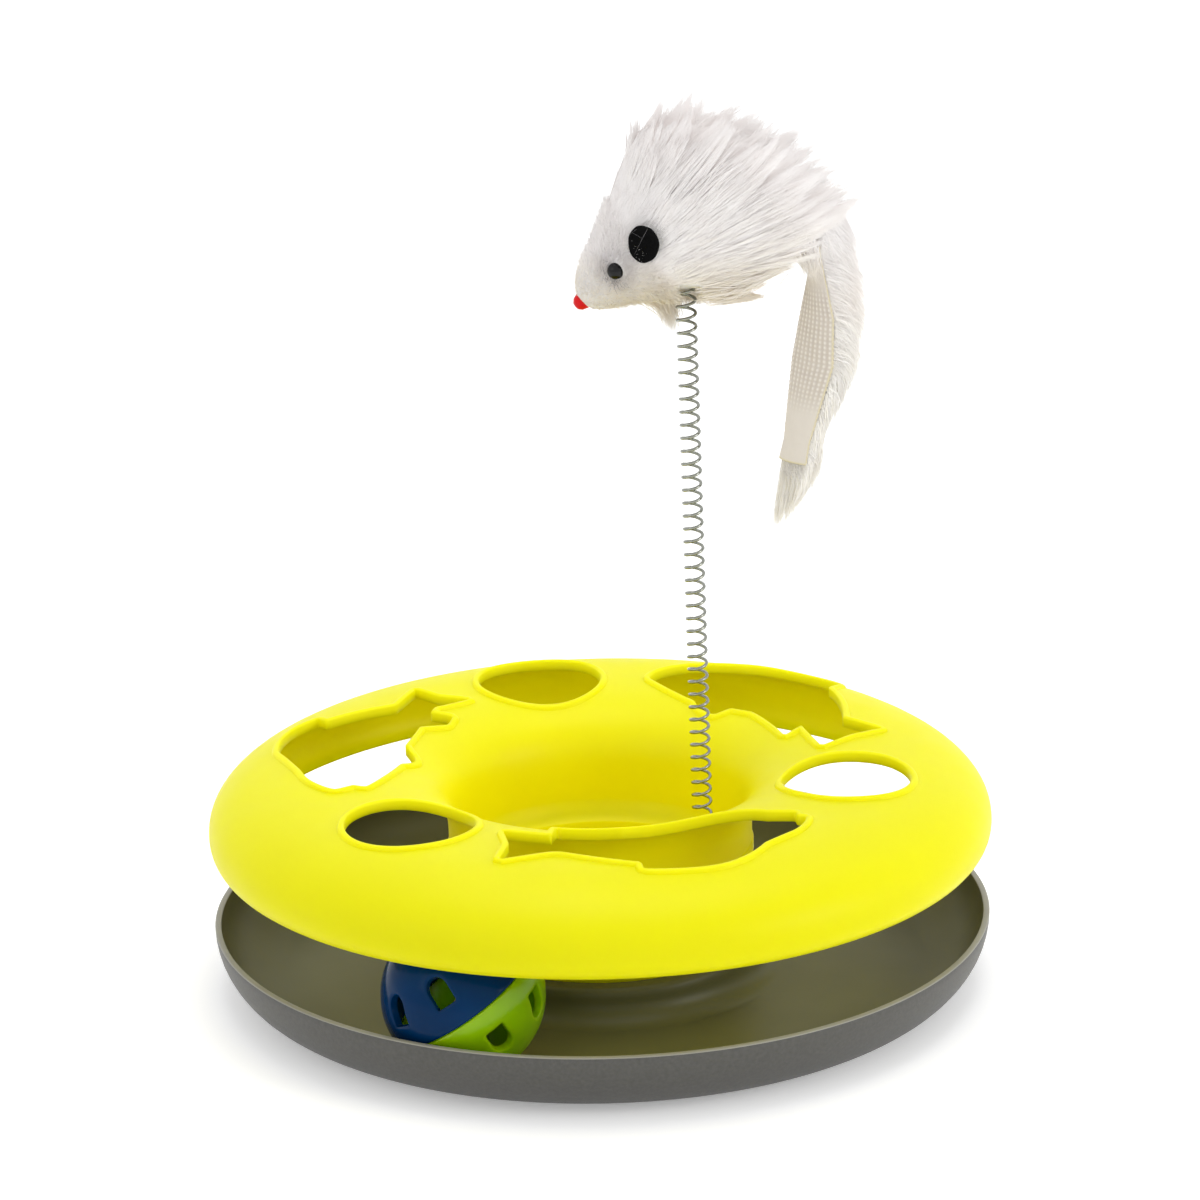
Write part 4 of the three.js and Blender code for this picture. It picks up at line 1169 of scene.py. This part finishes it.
def make_backing():
    heights = np.linspace(BACKING_TOP, BACKING_END, BACKING_ROWS)
    across = np.linspace(-1, 1, BACKING_COLUMNS)
    z, u = np.repeat(heights, BACKING_COLUMNS), np.tile(across, BACKING_ROWS)
    rib = 0.5 - 0.5 * np.cos(np.pi * RIBS * (u + 1))
    dot = 0.5 + 0.5 * np.cos(TAU * z / STITCH_LONG)
    knitted = smoothstep(175, 185, z) * smoothstep(217, 210, z)
    stitch = rib ** 1.5 * (0.15 + 0.85 * dot) * knitted
    pale = stitch + 0.5 * (1 - knitted)
    seam = np.maximum(smoothstep(0.93, 0.98, u), smoothstep(BACKING_END + 0.7, BACKING_END + 0.3, z))
    ragged = 1 + 0.03 * (dot - 0.5) * (np.abs(u) > 0.98)
    grid = strip_point(z, u * ragged) + (STITCH_RISE * stitch)[:, None] * STRIP_BACK
    corner = np.arange(len(z)).reshape(BACKING_ROWS, BACKING_COLUMNS)
    quads = np.stack([corner[:-1, :-1], corner[1:, :-1], corner[1:, 1:], corner[:-1, 1:]], -1).reshape(-1, 4)
    backing = made("tail_backing", grid, quads, knit, closed=False)
    marks = backing.data.attributes.new("stitch", "FLOAT_COLOR", "POINT")
    marks.data.foreach_set("color", np.stack([pale, seam, np.zeros_like(u), np.ones_like(u)], 1).ravel())
    solidify = backing.modifiers.new("thickness", "SOLIDIFY")
    solidify.thickness = CLOTH_THICK
    solidify.offset = -1
    return backing


def tail_pile():
    """The pile on the far side of the backing, which hangs down and outwards."""
    count = PILE_STRANDS
    z = rng.uniform(157, 240, count)
    across = rng.uniform(-0.85, 1.05, count)
    roots = strip_point(z, across) - STRIP_BACK * STRIP_THICK
    hang = rng.uniform(7, 14, count)
    end = np.maximum(z - hang, PILE_END)
    edge = np.interp(end, STRIP_Z, STRIP_X) + STRIP_WIDE[0] * strip_half(end) * across
    room = np.maximum(np.interp(end, PILE_Z, PILE_X) - edge, 0.8)
    out = room / -STRIP_BACK[0] * rng.beta(2.2, 0.9, count) * rng.uniform(0.86, 1.06, count)
    tips = strip_point(end, across) - STRIP_BACK * (STRIP_THICK + out)[:, None]
    middles = roots - STRIP_BACK * (0.8 * out)[:, None] + (0.3 * hang)[:, None] * [0, 0, -1.0]
    clumps = clumped(roots, PILE_CLUMPS)
    normals = unit(0.25 * stray(roots) + [0.2, -0.95, 0.05])
    return strands("tail_fur", roots, middles, tips, normals, PILE_WIDE, fur_tail, 3, clumps, 0.35)


def tail_tip():
    """The brush of fur below the backing, longest at its left edge."""
    count = TIP_STRANDS
    share = rng.uniform(0, 1, count) ** 1.2
    deep = rng.normal(0, 1, count)
    behind = STRIP_BACK * (1 + 2.4 * np.abs(deep))[:, None]
    roots = strip_point(rng.uniform(161, 169, count), 1.9 * share - 0.95) - behind
    ends = np.stack([np.interp(share, TIP_SHARE, TIP_X), 0.9 * deep, np.interp(share, TIP_SHARE, TIP_Z)], 1)
    tips = roots + (ends - roots) * rng.beta(3, 1.1, (count, 1)) + 0.9 * stray(roots)
    middles = (roots + tips) / 2 + [0.7, 0, 0]
    normals = unit(0.25 * stray(roots) + [-0.1, -0.95, 0.05])
    clumps = clumped(tips, TIP_CLUMPS)
    return strands("tail_tip", roots, middles, tips, normals, TIP_WIDE, fur_tail, 4, clumps, 0.4)


def make_tail():
    for piece in (make_backing(), tail_pile(), tail_tip()):
        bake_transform(piece)
        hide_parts("mouse_tail")


# Floor and light, with lamps in metres and watts
FLOOR_GLOW, WORLD_LIGHT, FLOOR_Z = 0.3, 0.78, -0.2
FLOOR_LEFT, FLOOR_RIGHT, FLOOR_FRONT, FLOOR_BACK = -4000, 4000, -4000, 6000
LAMPS = (
    ("key", (1.7, -0.8, 0.8), 0.8, 9.5),
    ("left", (-1.5, -1.2, 1.2), 1.2, 3.5),
    ("top", (0.1, 0.3, 1.9), 1.2, 13),
)
LAMP_AIM = Vector((0, 0, 0.1))


def seen_rays(graph):
    """One for camera, glossy and transmission rays, and zero for the rest."""
    rays = graph.add("LightPath").outputs
    seen = rays["Is Camera Ray"]
    for other in ("Is Glossy Ray", "Is Transmission Ray"):
        seen = graph.add("Math", seen, rays[other], operation="MAXIMUM").outputs["Value"]
    return seen


def floor_material():
    mat = material("floor_white", (246, 246, 246), (249, 249, 249), (0.7, 0.8), patch=2)
    graph = Graph(mat)
    glow = graph.add("Emission", Strength=graph.spread(seen_rays(graph), 0.0, FLOOR_GLOW))
    both = graph.add("AddShader", graph.shader.outputs["BSDF"], glow.outputs["Emission"])
    graph.feed(graph.nodes["Material Output"], Surface=both.outputs["Shader"])
    return mat


def make_floor():
    front = [(FLOOR_LEFT, FLOOR_FRONT, FLOOR_Z), (FLOOR_RIGHT, FLOOR_FRONT, FLOOR_Z)]
    back = [(FLOOR_RIGHT, FLOOR_BACK, FLOOR_Z), (FLOOR_LEFT, FLOOR_BACK, FLOOR_Z)]
    made("floor", front + back, [[0, 1, 2, 3]], floor_material(), closed=False)


def make_light():
    scene.world = bpy.data.worlds.new("studio")
    graph = Graph(scene.world)
    level = graph.spread(seen_rays(graph), WORLD_LIGHT, 1.0)
    graph.feed(graph.nodes["Background"], Color=(1, 1, 1, 1), Strength=level)
    for name, place, size, power in LAMPS:
        data = bpy.data.lights.new(name, "AREA")
        data.size = size
        data.energy = power
        lamp = linked(name, data)
        lamp.location = place
        lamp.rotation_euler = (LAMP_AIM - lamp.location).to_track_quat("-Z", "Y").to_euler()


make_tray()
make_lid()
make_ball()
make_bell()
make_spring()
make_mouse_fur()
make_mouse_face()
make_tail()
make_floor()
make_light()
scene.view_settings.view_transform = "Standard"
scene.cycles.max_bounces = 24
scene.cycles.diffuse_bounces = 16
